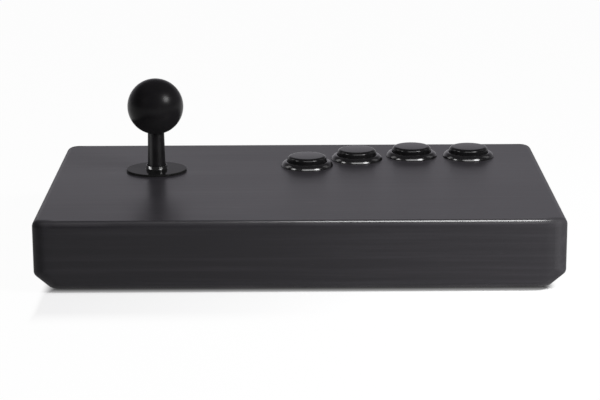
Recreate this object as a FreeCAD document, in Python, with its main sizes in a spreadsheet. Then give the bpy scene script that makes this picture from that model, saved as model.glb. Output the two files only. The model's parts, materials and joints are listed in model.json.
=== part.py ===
import FreeCAD, Part
import math
import os
import Sketcher
from types import SimpleNamespace

# Lengths in millimetres, angles in degrees. X runs to the right, Y to the rear, Z up from the table.
SIZES = {
    # wooden case
    "case_width": 308.0,
    "case_depth": 200.0,
    "case_height": 40.5,
    "edge_radius": 4.0,
    "corner_radius": 8.0,
    "grip_run": 9.5,
    "grip_rise": 8.0,
    "panel_thickness": 8.0,
    "lever_panel": 5.0,
    "side_wall": 24.0,
    "end_wall": 14.0,
    "cavity_radius": 8.0,
    # bottom plate and feet
    "base_thickness": 3.0,
    "base_ledge": 8.0,
    "base_gap": 0.5,
    "rebate_radius": 4.0,
    "foot_height": 2.0,
    "foot_radius": 10.0,
    "foot_inset": 22.0,
    "foot_round": 0.5,
    "base_screw_radius": 1.5,
    "base_screw_head": 3.0,
    "base_screw_length": 13.0,
    "base_screw_key": 1.1,
    "base_screw_key_depth": 1.2,
    # fits
    "fit_gap": 0.05,
    "run_gap": 0.3,
    # lever
    "stick_from_left": 64.0,
    "stick_from_rear": 73.8,
    "tilt_angle": 9.0,
    "pivot_depth": 12.0,
    "lever_hole": 12.0,
    "lever_plate_width": 54.0,
    "lever_plate_length": 92.0,
    "lever_plate_thickness": 1.6,
    "lever_plate_corner": 3.0,
    "lever_pocket_gap": 1.0,
    "lever_screw_radius": 1.75,
    "lever_screw_head": 3.4,
    "lever_screw_head_height": 2.2,
    "lever_screw_bite": 3.6,
    "lever_screw_inset": 5.5,
    "housing_side": 50.0,
    "housing_wall": 2.5,
    "housing_drop": 9.0,
    "web_drop": 4.8,
    "web_thickness": 1.5,
    "web_hole": 7.5,
    "post_radius": 4.0,
    "post_inset": 4.5,
    "housing_screw_radius": 1.5,
    "housing_screw_head": 2.7,
    "housing_screw_head_height": 1.6,
    "lug_width": 9.0,
    "lug_thickness": 4.5,
    "lug_gap": 1.0,
    "ring_outer": 12.0,
    "ring_inner": 8.5,
    "ring_height": 5.0,
    "pivot_pin_radius": 2.0,
    "cross_pin_radius": 1.5,
    "cross_pin_inset": 0.5,
    "shaft_core_radius": 5.2,
    "shaft_neck_radius": 4.2,
    "shaft_stud_radius": 3.0,
    "shaft_foot_radius": 3.0,
    "sleeve_seat_rise": 6.5,
    "sleeve_top_radius": 5.15,
    "sleeve_foot_radius": 5.65,
    "knob_radius": 17.5,
    "knob_rise": 41.3,
    "knob_flat": 5.6,
    "knob_insert_radius": 4.8,
    "knob_insert_length": 22.0,
    "stud_length": 18.0,
    "dust_radius": 19.0,
    "dust_thickness": 1.1,
    "dust_hub_radius": 6.85,
    "dust_hub_height": 2.4,
    "dust_hub_wall": 0.55,
    "dust_edge_round": 0.45,
    "dust_hub_round": 0.45,
    "slip_radius": 16.8,
    "slip_thickness": 0.3,
    "slip_slot_radius": 6.5,
    "slip_slot_reach": 2.0,
    "seat_thickness": 1.0,
    "seat_radius": 10.0,
    "lever_spring_radius": 6.9,
    "lever_spring_wire": 0.5,
    "lever_spring_turns": 2.5,
    "actuator_shoulder": 12.2,
    "actuator_length": 7.5,
    "actuator_radius": 6.5,
    "actuator_flange": 8.0,
    "actuator_flange_thickness": 1.0,
    "clip_radius": 5.0,
    "clip_thickness": 0.8,
    "clip_groove": 2.4,
    "clip_mouth": 4.0,
    "shaft_tail": 0.5,
    "lever_board_margin": 2.0,
    "lever_board_cut": 12.0,
    "lever_board_thickness": 1.6,
    "lever_board_hole": 12.0,
    "tongue_out": 9.5,
    "tongue_width": 19.0,
    "connector_width": 16.0,
    "connector_depth": 7.0,
    "connector_height": 7.0,
    "lever_switch_length": 19.8,
    "lever_switch_depth": 10.2,
    "lever_switch_height": 6.4,
    "lever_switch_stem": 0.9,
    "lever_switch_stem_out": 1.2,
    "lever_switch_tab_width": 3.2,
    "lever_switch_tab_thickness": 0.5,
    "lever_switch_tab_length": 3.2,
    "lever_switch_tab_pitch": 6.5,
    "gate_thickness": 2.4,
    "gate_gap": 0.2,
    "gate_corner": 5.0,
    # pushbuttons
    "first_button_from_right": 149.0,
    "first_button_from_rear": 62.0,
    "button_pitch": 36.8,
    "row_lean": 29.0,
    "row_bend": 16.0,
    "button_hole": 15.0,
    "bezel_radius": 16.6,
    "bezel_height": 3.0,
    "bezel_edge_round": 2.6,
    "bezel_lip_round": 0.5,
    "barrel_radius": 14.75,
    "barrel_depth": 19.0,
    "barrel_floor": 1.5,
    "barrel_wall": 1.2,
    "lip_depth": 2.0,
    "plunger_radius": 12.4,
    "plunger_rise": 6.6,
    "plunger_round": 2.1,
    "plunger_top": 2.2,
    "plunger_wall": 1.6,
    "plunger_flange": 13.1,
    "plunger_flange_height": 2.7,
    "plunger_stem": 3.0,
    "plunger_pin": 1.4,
    "plunger_pin_length": 6.0,
    "button_travel": 3.2,
    "button_nut_radius": 17.4,
    "button_nut_height": 5.0,
    "button_spring_radius": 5.2,
    "button_spring_wire": 0.4,
    "button_spring_turns": 6.5,
    "arm_thickness": 2.0,
    "arm_length": 9.0,
    "switch_length": 20.0,
    "switch_width": 6.4,
    "switch_height": 8.0,
    "switch_drop": 3.5,
    "switch_tab_width": 4.0,
    "switch_tab_thickness": 0.8,
    "switch_tab_length": 4.5,
    "switch_tab_offset": 5.0,
    # control board
    "board_from_button": 37.0,
    "board_from_front": 46.0,
    "board_length": 56.0,
    "board_width": 36.0,
    "board_thickness": 1.6,
    "board_screw_inset": 4.0,
    "spacer_height": 5.0,
    "spacer_radius": 3.0,
    "board_screw_radius": 1.3,
    "board_screw_head": 2.5,
    "board_screw_head_height": 1.6,
    "board_screw_bite": 5.0,
    "chip_side": 12.0,
    "chip_height": 1.8,
    "header_depth": 6.0,
    "header_height": 5.0,
    "header_width": 14.0,
    "lever_header_offset": -13.0,
    "socket_header_offset": 6.0,
    "button_header_pitch": 2.8,
    # rear socket
    "socket_from_left": 116.0,
    "socket_flange_radius": 10.0,
    "socket_flange_thickness": 2.0,
    "socket_barrel_radius": 8.0,
    "socket_length": 24.0,
    "socket_bore": 6.0,
    "socket_bore_depth": 8.0,
    "socket_insert_radius": 5.4,
    "socket_back": 2.0,
    "socket_contact_radius": 0.7,
    "socket_contact_circle": 3.0,
    "socket_contact_depth": 5.0,
    "socket_nut_radius": 11.0,
    "socket_nut_height": 4.0,
    # wiring
    "lead_radius": 2.0,
    "wire_radius": 0.7,
    "solder_gap": 0.2,
    "lead_straight": 9.0,
    "bend_share": 0.45,
}

doc = FreeCAD.newDocument("arcade_stick")
sheet = doc.addObject("Spreadsheet::Sheet", "sizes")
for row, (alias, number) in enumerate(SIZES.items(), start=1):
    sheet.set(f"A{row}", alias.replace("_", " "))
    sheet.set(f"B{row}", str(number))
    sheet.setAlias(f"B{row}", alias)
doc.recompute()


class Size:
    """A length or an angle, known as a number and as a formula on the sheet."""

    def __init__(self, value, text):
        self.value = value
        self.text = text

    def __add__(self, other):
        other = as_size(other)
        return Size(self.value + other.value, f"({self.text} + {other.text})")

    def __sub__(self, other):
        other = as_size(other)
        return Size(self.value - other.value, f"({self.text} - {other.text})")

    def __mul__(self, other):
        other = as_size(other)
        return Size(self.value * other.value, f"({self.text} * {other.text})")

    def __truediv__(self, other):
        other = as_size(other)
        return Size(self.value / other.value, f"({self.text} / {other.text})")

    def __neg__(self):
        return Size(-self.value, f"(-1 * {self.text})")

    def __radd__(self, other):
        return as_size(other) + self

    def __rsub__(self, other):
        return as_size(other) - self

    def __rmul__(self, other):
        return as_size(other) * self


def as_size(number):
    """The number as a Size, unchanged when it is one."""
    if isinstance(number, Size):
        return number
    return Size(float(number), f"({float(number)})")


def sine(angle):
    return Size(math.sin(math.radians(angle.value)), f"sin({angle.text} * 1 deg)")


def cosine(angle):
    return Size(math.cos(math.radians(angle.value)), f"cos({angle.text} * 1 deg)")


def tangent(angle):
    return Size(math.tan(math.radians(angle.value)), f"tan({angle.text} * 1 deg)")


def root(size):
    return Size(math.sqrt(size.value), f"sqrt({size.text})")


S = SimpleNamespace(**{name: Size(float(sheet.get(name)), f"sizes.{name}") for name in SIZES})
ORIGIN = FreeCAD.Vector(0, 0, 0)
FULL_TURN = 360.0
PARTS = []


def bind(thing, **formulas):
    """Tie properties of the object to formulas on the sheet."""
    for name, size in formulas.items():
        thing.setExpression(name, as_size(size).text)


def place(thing, x=0, y=0, z=0):
    """Tie the place of the object to formulas on the sheet."""
    for axis, size in (("x", x), ("y", y), ("z", z)):
        thing.setExpression(f"Placement.Base.{axis}", as_size(size).text)


def turn(thing, along):
    """Lay a piece that is made along Z along another axis."""
    turns = {
        "x": FreeCAD.Rotation(FreeCAD.Vector(0, 1, 0), 90),
        "-x": FreeCAD.Rotation(FreeCAD.Vector(0, 1, 0), -90),
        "y": FreeCAD.Rotation(FreeCAD.Vector(1, 0, 0), -90),
        "-y": FreeCAD.Rotation(FreeCAD.Vector(1, 0, 0), 90),
        "-z": FreeCAD.Rotation(FreeCAD.Vector(1, 0, 0), 180),
        "z": FreeCAD.Rotation(),
    }
    thing.Placement = FreeCAD.Placement(ORIGIN, turns[along])


def finished(thing, label):
    """Name a sub-part and keep it for the files."""
    thing.Label = label
    PARTS.append(thing)
    return thing


def body_of(name):
    return doc.addObject("PartDesign::Body", name)


def sketch_on(body, name, plane="XY_Plane", offset=0):
    """An empty sketch on one of the body's own planes, moved along its normal."""
    sketch = body.newObject("Sketcher::SketchObject", name)
    support = next(feature for feature in body.Origin.OriginFeatures if feature.Role == plane)
    sketch.AttachmentSupport = (support, [""])
    sketch.MapMode = "FlatFace"
    sketch.setExpression("AttachmentOffset.Base.z", as_size(offset).text)
    return sketch


def pin_point(sketch, geometry, end, across, up):
    """Hold one point of the sketch at two formulas from its origin."""
    for kind, axis, size in (("DistanceX", -2, as_size(across)), ("DistanceY", -1, as_size(up))):
        if size.text == "(0.0)":
            sketch.addConstraint(Sketcher.Constraint("PointOnObject", geometry, end, axis))
        else:
            held = Sketcher.Constraint(kind, -1, 1, geometry, end, size.value)
            index = sketch.addConstraint(held)
            sketch.setExpression(f"Constraints[{index}]", size.text)


def outline(sketch, corners):
    """A closed run of straight lines through the corners."""
    spots = [FreeCAD.Vector(as_size(x).value, as_size(y).value, 0) for x, y in corners]
    lines = []
    for start, end in zip(spots, spots[1:] + spots[:1]):
        lines.append(sketch.addGeometry(Part.LineSegment(start, end), False))
    for line, after in zip(lines, lines[1:] + lines[:1]):
        sketch.addConstraint(Sketcher.Constraint("Coincident", line, 2, after, 1))
    for line, (x, y) in zip(lines, corners):
        pin_point(sketch, line, 1, x, y)


def rectangle(sketch, width, length, x=0, y=0):
    """A rectangle about a centre."""
    left, right = x - width / 2, x + width / 2
    front, rear = y - length / 2, y + length / 2
    outline(sketch, [(left, front), (right, front), (right, rear), (left, rear)])


def circle(sketch, radius, x=0, y=0):
    """A circle about a centre."""
    centre = FreeCAD.Vector(as_size(x).value, as_size(y).value, 0)
    ring = sketch.addGeometry(Part.Circle(centre, FreeCAD.Vector(0, 0, 1), radius.value), False)
    index = sketch.addConstraint(Sketcher.Constraint("Radius", ring, radius.value))
    sketch.setExpression(f"Constraints[{index}]", radius.text)
    pin_point(sketch, ring, 3, x, y)


def pad(body, name, sketch, length):
    """Material from the sketch along its normal."""
    feature = body.newObject("PartDesign::Pad", name)
    feature.Profile = sketch
    bind(feature, Length=length)
    doc.recompute()
    return feature


def pocket(body, name, sketch, depth, along_normal=True):
    """A cut from the sketch, along its normal or against it."""
    before = body.Shape.Volume
    feature = body.newObject("PartDesign::Pocket", name)
    feature.Profile = sketch
    feature.Reversed = along_normal
    bind(feature, Length=depth)
    doc.recompute()
    if body.Shape.Volume >= before:
        raise RuntimeError(f"{body.Name}: {name} cuts nothing")
    return feature


def revolve(body, name, sketch):
    """Material from the sketch turned about its upright axis."""
    feature = body.newObject("PartDesign::Revolution", name)
    feature.Profile = sketch
    feature.ReferenceAxis = (sketch, ["V_Axis"])
    feature.Angle = FULL_TURN
    doc.recompute()
    return feature


def fillet(body, name, radius, wanted):
    """Rounding on the edges that the test picks from the body's last feature."""
    doc.recompute()
    base = body.Tip
    edges = [f"Edge{index}" for index, edge in enumerate(base.Shape.Edges, start=1) if wanted(edge)]
    feature = body.newObject("PartDesign::Fillet", name)
    feature.Base = (base, edges)
    bind(feature, Radius=radius)
    doc.recompute()
    return feature


def turned(name, corners):
    """A turned body from (radius, height) corners."""
    body = body_of(name)
    profile = sketch_on(body, f"{name}_profile", "XZ_Plane")
    outline(profile, corners)
    revolve(body, f"{name}_turned", profile)
    return body


def upright(edge):
    """True for a straight edge along Z."""
    box = edge.BoundBox
    return box.XLength < 1e-6 and box.YLength < 1e-6


def ring_edge(edge, radius, height):
    """True for a full circle of that radius at that height."""
    box = edge.BoundBox
    level = abs(box.ZMin - height.value) < 1e-4 and box.ZLength < 1e-4
    return level and abs(box.XLength / 2 - radius.value) < 1e-3


def cylinder(name, radius, height, x=0, y=0, z=0, along="z"):
    thing = doc.addObject("Part::Cylinder", name)
    bind(thing, Radius=radius, Height=height)
    turn(thing, along)
    place(thing, x, y, z)
    return thing


def cone(name, start, end, height, x=0, y=0, z=0, along="z"):
    thing = doc.addObject("Part::Cone", name)
    bind(thing, Radius1=start, Radius2=end, Height=height)
    turn(thing, along)
    place(thing, x, y, z)
    return thing


def prism(name, sides, radius, height, x=0, y=0, z=0, along="z"):
    thing = doc.addObject("Part::Prism", name)
    thing.Polygon = sides
    bind(thing, Circumradius=radius, Height=height)
    turn(thing, along)
    place(thing, x, y, z)
    return thing


def box(name, width, length, height, x=0, y=0, z=0):
    """A box centred on x and y that stands on z."""
    thing = doc.addObject("Part::Box", name)
    bind(thing, Length=width, Width=length, Height=height)
    place(thing, x - width / 2, y - length / 2, z)
    return thing


def fused(name, *pieces):
    thing = doc.addObject("Part::MultiFuse", name)
    thing.Shapes = list(pieces)
    return thing


def cut(name, base, *tools):
    thing = doc.addObject("Part::Cut", name)
    thing.Base = base
    thing.Tool = tools[0] if len(tools) == 1 else fused(f"{name}_tools", *tools)
    return thing


def group(name, pieces):
    """Identical pieces kept together as separate solids."""
    thing = doc.addObject("Part::Compound", name)
    thing.Links = list(pieces)
    return thing


def coil(name, radius, wire, length, turns, x, y, z):
    """An open coil spring that stands on z."""
    line = doc.addObject("Part::Helix", f"{name}_line")
    bind(line, Radius=radius, Height=length - wire * 2, Pitch=(length - wire * 2) / turns)
    line.SegmentLength = 1
    section = doc.addObject("Part::Circle", f"{name}_section")
    bind(section, Radius=wire)
    turn(section, "-y")
    place(section, radius)
    doc.recompute()
    thing = doc.addObject("Part::Sweep", name)
    thing.Sections = [section]
    thing.Spine = (line, [f"Edge{index}" for index in range(1, len(line.Shape.Edges) + 1)])
    thing.Solid = True
    thing.Frenet = True
    place(thing, x, y, z + wire)
    return thing


def lead_shape(radius, points):
    """A round lead along straight runs with tangent arcs between them."""
    spots = [FreeCAD.Vector(*(as_size(number).value for number in point)) for point in points]
    edges = []
    start = spots[0]
    for before, corner, after in zip(spots, spots[1:], spots[2:]):
        back = (before - corner).normalize()
        ahead = (after - corner).normalize()
        reach = S.bend_share.value * min((before - corner).Length, (after - corner).Length)
        middle = (back + ahead).normalize()
        half = back.getAngle(middle)
        centre = corner + middle * (reach / math.cos(half))
        bend = reach * math.tan(half)
        first = corner + back * reach
        last = corner + ahead * reach
        edges.append(Part.LineSegment(start, first).toShape())
        edges.append(Part.Arc(first, centre - middle * bend, last).toShape())
        start = last
    edges.append(Part.LineSegment(start, spots[-1]).toShape())
    path = Part.Wire(edges)
    heading = (spots[1] - spots[0]).normalize()
    section = Part.Wire([Part.Circle(spots[0], heading, radius.value).toShape()])
    return path.makePipeShell([section], True, False)


def shaped(name, shape):
    thing = doc.addObject("Part::Feature", name)
    thing.Shape = shape
    return thing


# heights and inner outlines that several pieces share
panel_top = S.foot_height + S.case_height
panel_under = panel_top - S.panel_thickness
lever_ceiling = panel_top - S.lever_panel
base_top = S.foot_height + S.base_thickness
pivot_z = panel_top - S.pivot_depth
cavity_width = S.case_width - S.side_wall * 2
cavity_length = S.case_depth - S.end_wall * 2
rebate_width = cavity_width + S.base_ledge * 2
rebate_length = cavity_length + S.base_ledge * 2
plate_width = rebate_width - S.base_gap * 2
plate_length = rebate_length - S.base_gap * 2
stick_x = S.stick_from_left - S.case_width / 2
stick_y = S.case_depth / 2 - S.stick_from_rear
first_button_x = S.case_width / 2 - S.first_button_from_right
first_button_y = S.case_depth / 2 - S.first_button_from_rear
board_x = first_button_x - S.board_from_button
board_y = S.board_from_front - S.case_depth / 2
socket_x = S.socket_from_left - S.case_width / 2
socket_z = S.foot_height + S.case_height / 2
socket_face = S.case_depth / 2
lever_board_side = S.housing_side - S.lever_board_margin * 2
tongue_reach = S.housing_side / 2 + S.tongue_out

# the button row bends by the same angle after each button
BUTTONS = 4
button_spots = [(first_button_x, first_button_y)]
heading = S.row_lean
for _ in range(BUTTONS - 1):
    last_x, last_y = button_spots[-1]
    next_x = last_x + S.button_pitch * cosine(heading)
    next_y = last_y + S.button_pitch * sine(heading)
    button_spots.append((next_x, next_y))
    heading = heading - S.row_bend

# screw places
ledge_x = cavity_width / 2 + S.base_ledge / 2
ledge_y = cavity_length / 2 + S.base_ledge / 2
base_screw_spots = [(ledge_x * i, ledge_y * j) for i in (-1, 0, 1) for j in (-1, 0, 1) if i or j]
lever_screw_x = S.lever_plate_width / 2 - S.lever_screw_inset
lever_screw_y = S.lever_plate_length / 2 - S.lever_screw_inset
lever_screw_spots = [(lever_screw_x * i, lever_screw_y * j) for i in (-1, 1) for j in (-1, 1)]
post_spot = S.housing_side / 2 - S.post_inset
post_spots = [(post_spot * i, post_spot * j) for i in (-1, 1) for j in (-1, 1)]
board_screw_x = S.board_length / 2 - S.board_screw_inset
board_screw_y = S.board_width / 2 - S.board_screw_inset
board_screw_spots = [(board_screw_x * i, board_screw_y * j) for i in (-1, 1) for j in (-1, 1)]

# case: a block with slanted lower ends, hollowed from below
case = body_of("case")
block = sketch_on(case, "case_end", "XZ_Plane", -S.case_depth / 2)
half_width = S.case_width / 2
grip_top = S.foot_height + S.grip_rise
outline(block, [
    (-(half_width - S.grip_run), S.foot_height),
    (half_width - S.grip_run, S.foot_height),
    (half_width, grip_top),
    (half_width, panel_top),
    (-half_width, panel_top),
    (-half_width, grip_top),
])
pad(case, "case_block", block, S.case_depth)


def corner_edge(edge):
    """True for an edge between the front or the rear and an end of the block."""
    box = edge.BoundBox
    return box.YLength < 1e-6 and box.ZLength > 1e-6


def sharp(edge):
    """True for an edge where two faces of the block meet at an angle."""
    spot = edge.valueAt((edge.FirstParameter + edge.LastParameter) / 2)
    faces = case.Tip.Shape.ancestorsOfType(edge, Part.Face)
    first, second = [face.normalAt(*face.Surface.parameter(spot)) for face in faces]
    return first.getAngle(second) > 0.1


fillet(case, "case_corners", S.corner_radius, corner_edge)
fillet(case, "case_edges", S.edge_radius, sharp)

rebate = sketch_on(case, "case_rebate_at", offset=S.foot_height)
rectangle(rebate, rebate_width, rebate_length)
pocket(case, "case_rebate", rebate, S.base_thickness)
hollow = sketch_on(case, "case_hollow_at", offset=S.foot_height)
rectangle(hollow, cavity_width, cavity_length)
pocket(case, "case_hollow", hollow, S.case_height - S.panel_thickness)


def hollow_corner(edge):
    """True for an upright corner of the hollow."""
    return upright(edge) and abs(abs(edge.BoundBox.XMin) - cavity_width.value / 2) < 1e-3


def rebate_corner(edge):
    """True for an upright corner of the rebate."""
    return upright(edge) and abs(abs(edge.BoundBox.XMin) - rebate_width.value / 2) < 1e-3


fillet(case, "case_hollow_corners", S.cavity_radius, hollow_corner)
fillet(case, "case_rebate_corners", S.rebate_radius, rebate_corner)
thinned = sketch_on(case, "case_lever_pocket_at", offset=panel_under)
pocket_width = S.lever_plate_width + S.lever_pocket_gap * 2
pocket_length = S.lever_plate_length + S.lever_pocket_gap * 2
rectangle(thinned, pocket_width, pocket_length, stick_x, stick_y)
pocket(case, "case_lever_pocket", thinned, S.panel_thickness - S.lever_panel)


def lever_pocket_corner(edge):
    """True for an upright corner of the pocket for the lever plate."""
    box = edge.BoundBox
    across = abs(abs(box.XMin - stick_x.value) - pocket_width.value / 2) < 1e-3
    deep = abs(abs(box.YMin - stick_y.value) - pocket_length.value / 2) < 1e-3
    return upright(edge) and across and deep


fillet(case, "case_lever_pocket_corners", S.lever_plate_corner + S.lever_pocket_gap, lever_pocket_corner)
bores = sketch_on(case, "case_bores_at", offset=panel_under)
circle(bores, S.lever_hole, stick_x, stick_y)
for x, y in button_spots:
    circle(bores, S.button_hole, x, y)
pocket(case, "case_bores", bores, S.panel_thickness)
base_pilots = sketch_on(case, "case_base_pilots_at", offset=base_top)
for x, y in base_screw_spots:
    circle(base_pilots, S.base_screw_radius + S.fit_gap, x, y)
pocket(case, "case_base_pilots", base_pilots, S.base_screw_length - S.base_thickness + S.run_gap)
lever_pilots = sketch_on(case, "case_lever_pilots_at", offset=lever_ceiling)
for x, y in lever_screw_spots:
    circle(lever_pilots, S.lever_screw_radius + S.fit_gap, stick_x + x, stick_y + y)
pocket(case, "case_lever_pilots", lever_pilots, S.lever_screw_bite + S.run_gap)
board_pilots = sketch_on(case, "case_board_pilots_at", offset=panel_under)
for x, y in board_screw_spots:
    circle(board_pilots, S.board_screw_radius + S.fit_gap, board_x + x, board_y + y)
pocket(case, "case_board_pilots", board_pilots, S.board_screw_bite + S.run_gap)
socket_seat = sketch_on(case, "case_socket_seat_at", "XZ_Plane", -socket_face)
circle(socket_seat, S.socket_flange_radius + S.run_gap, socket_x, socket_z)
pocket(case, "case_socket_seat", socket_seat, S.socket_flange_thickness)
socket_way = sketch_on(case, "case_socket_way_at", "XZ_Plane", -socket_face)
circle(socket_way, S.socket_barrel_radius + S.run_gap, socket_x, socket_z)
pocket(case, "case_socket_way", socket_way, S.end_wall)
finished(case, "case")

# bottom plate in the rebate, with countersunk screws and feet
base_plate = body_of("base_plate")
sheet_outline = sketch_on(base_plate, "base_plate_outline")
rectangle(sheet_outline, plate_width, plate_length)
pad(base_plate, "base_plate_sheet", sheet_outline, S.base_thickness)
fillet(base_plate, "base_plate_corners", S.rebate_radius - S.base_gap, upright)
screw_holes = sketch_on(base_plate, "base_plate_screws_at")
for x, y in base_screw_spots:
    circle(screw_holes, S.base_screw_radius + S.fit_gap, x, y)
doc.recompute()
countersinks = base_plate.newObject("PartDesign::Hole", "base_plate_countersinks")
countersinks.Profile = screw_holes
doc.recompute()
countersinks.Threaded = False
countersinks.ThreadType = "None"
countersinks.DepthType = "ThroughAll"
countersinks.HoleCutType = "Countersink"
countersinks.HoleCutCountersinkAngle = 90.0
countersinks.Reversed = True
bind(countersinks, Diameter=(S.base_screw_radius + S.fit_gap) * 2)
bind(countersinks, HoleCutDiameter=(S.base_screw_head + S.fit_gap) * 2)
place(base_plate, z=S.foot_height)
finished(base_plate, "base_plate")

screws = []
for x, y in base_screw_spots:
    slope = S.base_screw_head - S.base_screw_radius
    head = cone("base_screw_cone", S.base_screw_head, S.base_screw_radius, slope, x, y, S.foot_height)
    shank = cylinder("base_screw_shank", S.base_screw_radius, S.base_screw_length, x, y, S.foot_height)
    key = prism("base_screw_key", 6, S.base_screw_key, S.base_screw_key_depth, x, y, S.foot_height)
    screws.append(cut("base_screw", fused("base_screw_blank", head, shank), key))
finished(group("base_screw_set", screws), "base_screws")

feet = []
foot_x = plate_width / 2 - S.foot_inset
foot_y = plate_length / 2 - S.foot_inset
for i in (-1, 1):
    for j in (-1, 1):
        blank = turned("rubber_foot", [
            (0, 0),
            (S.foot_radius - S.foot_round, 0),
            (S.foot_radius, S.foot_round),
            (S.foot_radius, S.foot_height),
            (0, S.foot_height),
        ])
        place(blank, foot_x * i, foot_y * j)
        feet.append(blank)
finished(group("rubber_foot_set", feet), "rubber_feet")

# lever plate and housing under the thinned panel
plate_under = lever_ceiling - S.lever_plate_thickness
lever_plate = body_of("lever_plate")
plate_outline = sketch_on(lever_plate, "lever_plate_outline")
rectangle(plate_outline, S.lever_plate_width, S.lever_plate_length)
pad(lever_plate, "lever_plate_sheet", plate_outline, S.lever_plate_thickness)
fillet(lever_plate, "lever_plate_corners", S.lever_plate_corner, upright)
plate_holes = sketch_on(lever_plate, "lever_plate_holes_at")
circle(plate_holes, S.lever_hole)
for x, y in lever_screw_spots:
    circle(plate_holes, S.lever_screw_radius + S.fit_gap, x, y)
for x, y in post_spots:
    circle(plate_holes, S.housing_screw_radius + S.fit_gap, x, y)
pocket(lever_plate, "lever_plate_holes", plate_holes, S.lever_plate_thickness)
place(lever_plate, stick_x, stick_y, plate_under)
finished(lever_plate, "lever_plate")

screws = []
for x, y in lever_screw_spots:
    spot = (stick_x + x, stick_y + y)
    head_z = plate_under - S.lever_screw_head_height
    grip = S.lever_screw_head_height + S.lever_plate_thickness + S.lever_screw_bite
    head = cylinder("lever_screw_head", S.lever_screw_head, S.lever_screw_head_height, *spot, head_z)
    shank = cylinder("lever_screw_shank", S.lever_screw_radius, grip, *spot, head_z)
    key = prism("lever_screw_key", 6, S.base_screw_key, S.base_screw_key_depth, *spot, head_z)
    screws.append(cut("lever_screw", fused("lever_screw_blank", head, shank), key))
finished(group("lever_screw_set", screws), "lever_plate_screws")

# heights in the lever from here on are taken from the pivot
housing_top = plate_under - pivot_z
housing_bottom = -S.housing_drop
web_under = -(S.web_drop + S.web_thickness)
lever_board_under = housing_bottom - S.lever_board_thickness
lever_switch_under = lever_board_under - S.lever_switch_height
gate_top = lever_switch_under - S.gate_gap
gate_under = gate_top - S.gate_thickness
inner_side = S.housing_side - S.housing_wall * 2

housing = body_of("lever_housing")
shell = sketch_on(housing, "housing_outline", offset=housing_bottom)
rectangle(shell, S.housing_side, S.housing_side)
pad(housing, "housing_block", shell, housing_top - housing_bottom)
ring_room = sketch_on(housing, "housing_ring_room_at", offset=-S.web_drop)
rectangle(ring_room, inner_side, inner_side)
pocket(housing, "housing_ring_room", ring_room, housing_top + S.web_drop)
spring_room = sketch_on(housing, "housing_spring_room_at", offset=housing_bottom)
rectangle(spring_room, inner_side, inner_side)
pocket(housing, "housing_spring_room", spring_room, web_under - housing_bottom)
web_bore = sketch_on(housing, "housing_web_bore_at", offset=web_under)
circle(web_bore, S.web_hole)
pocket(housing, "housing_web_bore", web_bore, S.web_thickness)
lugs = sketch_on(housing, "housing_lugs_at", offset=-S.web_drop)
lug_inner = S.ring_outer + S.lug_gap
for side in (-1, 1):
    rectangle(lugs, S.lug_thickness, S.lug_width, (lug_inner + S.lug_thickness / 2) * side)
pad(housing, "housing_lugs", lugs, S.web_drop + S.pivot_pin_radius * 2)
posts = sketch_on(housing, "housing_posts_at", offset=gate_top)
for x, y in post_spots:
    circle(posts, S.post_radius, x, y)
pad(housing, "housing_posts", posts, housing_top - gate_top)
post_bores = sketch_on(housing, "housing_post_bores_at", offset=gate_top)
for x, y in post_spots:
    circle(post_bores, S.housing_screw_radius + S.fit_gap, x, y)
pocket(housing, "housing_post_bores", post_bores, housing_top - gate_top)
lug_bores = sketch_on(housing, "housing_lug_bores_at", "YZ_Plane", -(lug_inner + S.lug_thickness))
circle(lug_bores, S.pivot_pin_radius + S.fit_gap)
pocket(housing, "housing_lug_bores", lug_bores, (lug_inner + S.lug_thickness) * 2)
place(housing, stick_x, stick_y, pivot_z)
finished(housing, "lever_housing")

screws = []
for x, y in post_spots:
    spot = (stick_x + x, stick_y + y)
    head_z = pivot_z + gate_under - S.housing_screw_head_height
    head = cylinder("housing_screw_head", S.housing_screw_head, S.housing_screw_head_height, *spot, head_z)
    shank = cylinder("housing_screw_shank", S.housing_screw_radius, lever_ceiling - head_z, *spot, head_z)
    key = prism("housing_screw_key", 6, S.base_screw_key, S.base_screw_key_depth, *spot, head_z)
    screws.append(cut("housing_screw", fused("housing_screw_blank", head, shank), key))
finished(group("housing_screw_set", screws), "housing_screws")

# gimbal: the ring rocks front to back on its pins, the shaft rocks left to right in the ring
ring = turned("gimbal_ring", [
    (S.ring_inner, -S.ring_height / 2),
    (S.ring_outer, -S.ring_height / 2),
    (S.ring_outer, S.ring_height / 2),
    (S.ring_inner, S.ring_height / 2),
])
pin_bores = sketch_on(ring, "ring_pin_bores_at", "YZ_Plane", -S.ring_outer)
circle(pin_bores, S.pivot_pin_radius)
pocket(ring, "ring_pin_bores", pin_bores, S.ring_outer * 2)
cross_bores = sketch_on(ring, "ring_cross_bores_at", "XZ_Plane", -S.ring_outer)
circle(cross_bores, S.cross_pin_radius + S.fit_gap)
pocket(ring, "ring_cross_bores", cross_bores, S.ring_outer * 2)
place(ring, stick_x, stick_y, pivot_z)
finished(ring, "gimbal_ring")

pin_start = S.ring_inner + S.cross_pin_inset
pin_length = lug_inner + S.lug_thickness - pin_start
pin_size = (S.pivot_pin_radius, pin_length)
pins = [
    cylinder("gimbal_pin_left", *pin_size, stick_x - pin_start, stick_y, pivot_z, "-x"),
    cylinder("gimbal_pin_right", *pin_size, stick_x + pin_start, stick_y, pivot_z, "x"),
]
finished(group("gimbal_pin_set", pins), "gimbal_pins")
cross_half = S.ring_outer - S.cross_pin_inset
cross_start = stick_y - cross_half
cross_pin = cylinder("cross_pin", S.cross_pin_radius, cross_half * 2, stick_x, cross_start, pivot_z, "y")
finished(cross_pin, "cross_pin")

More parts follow.
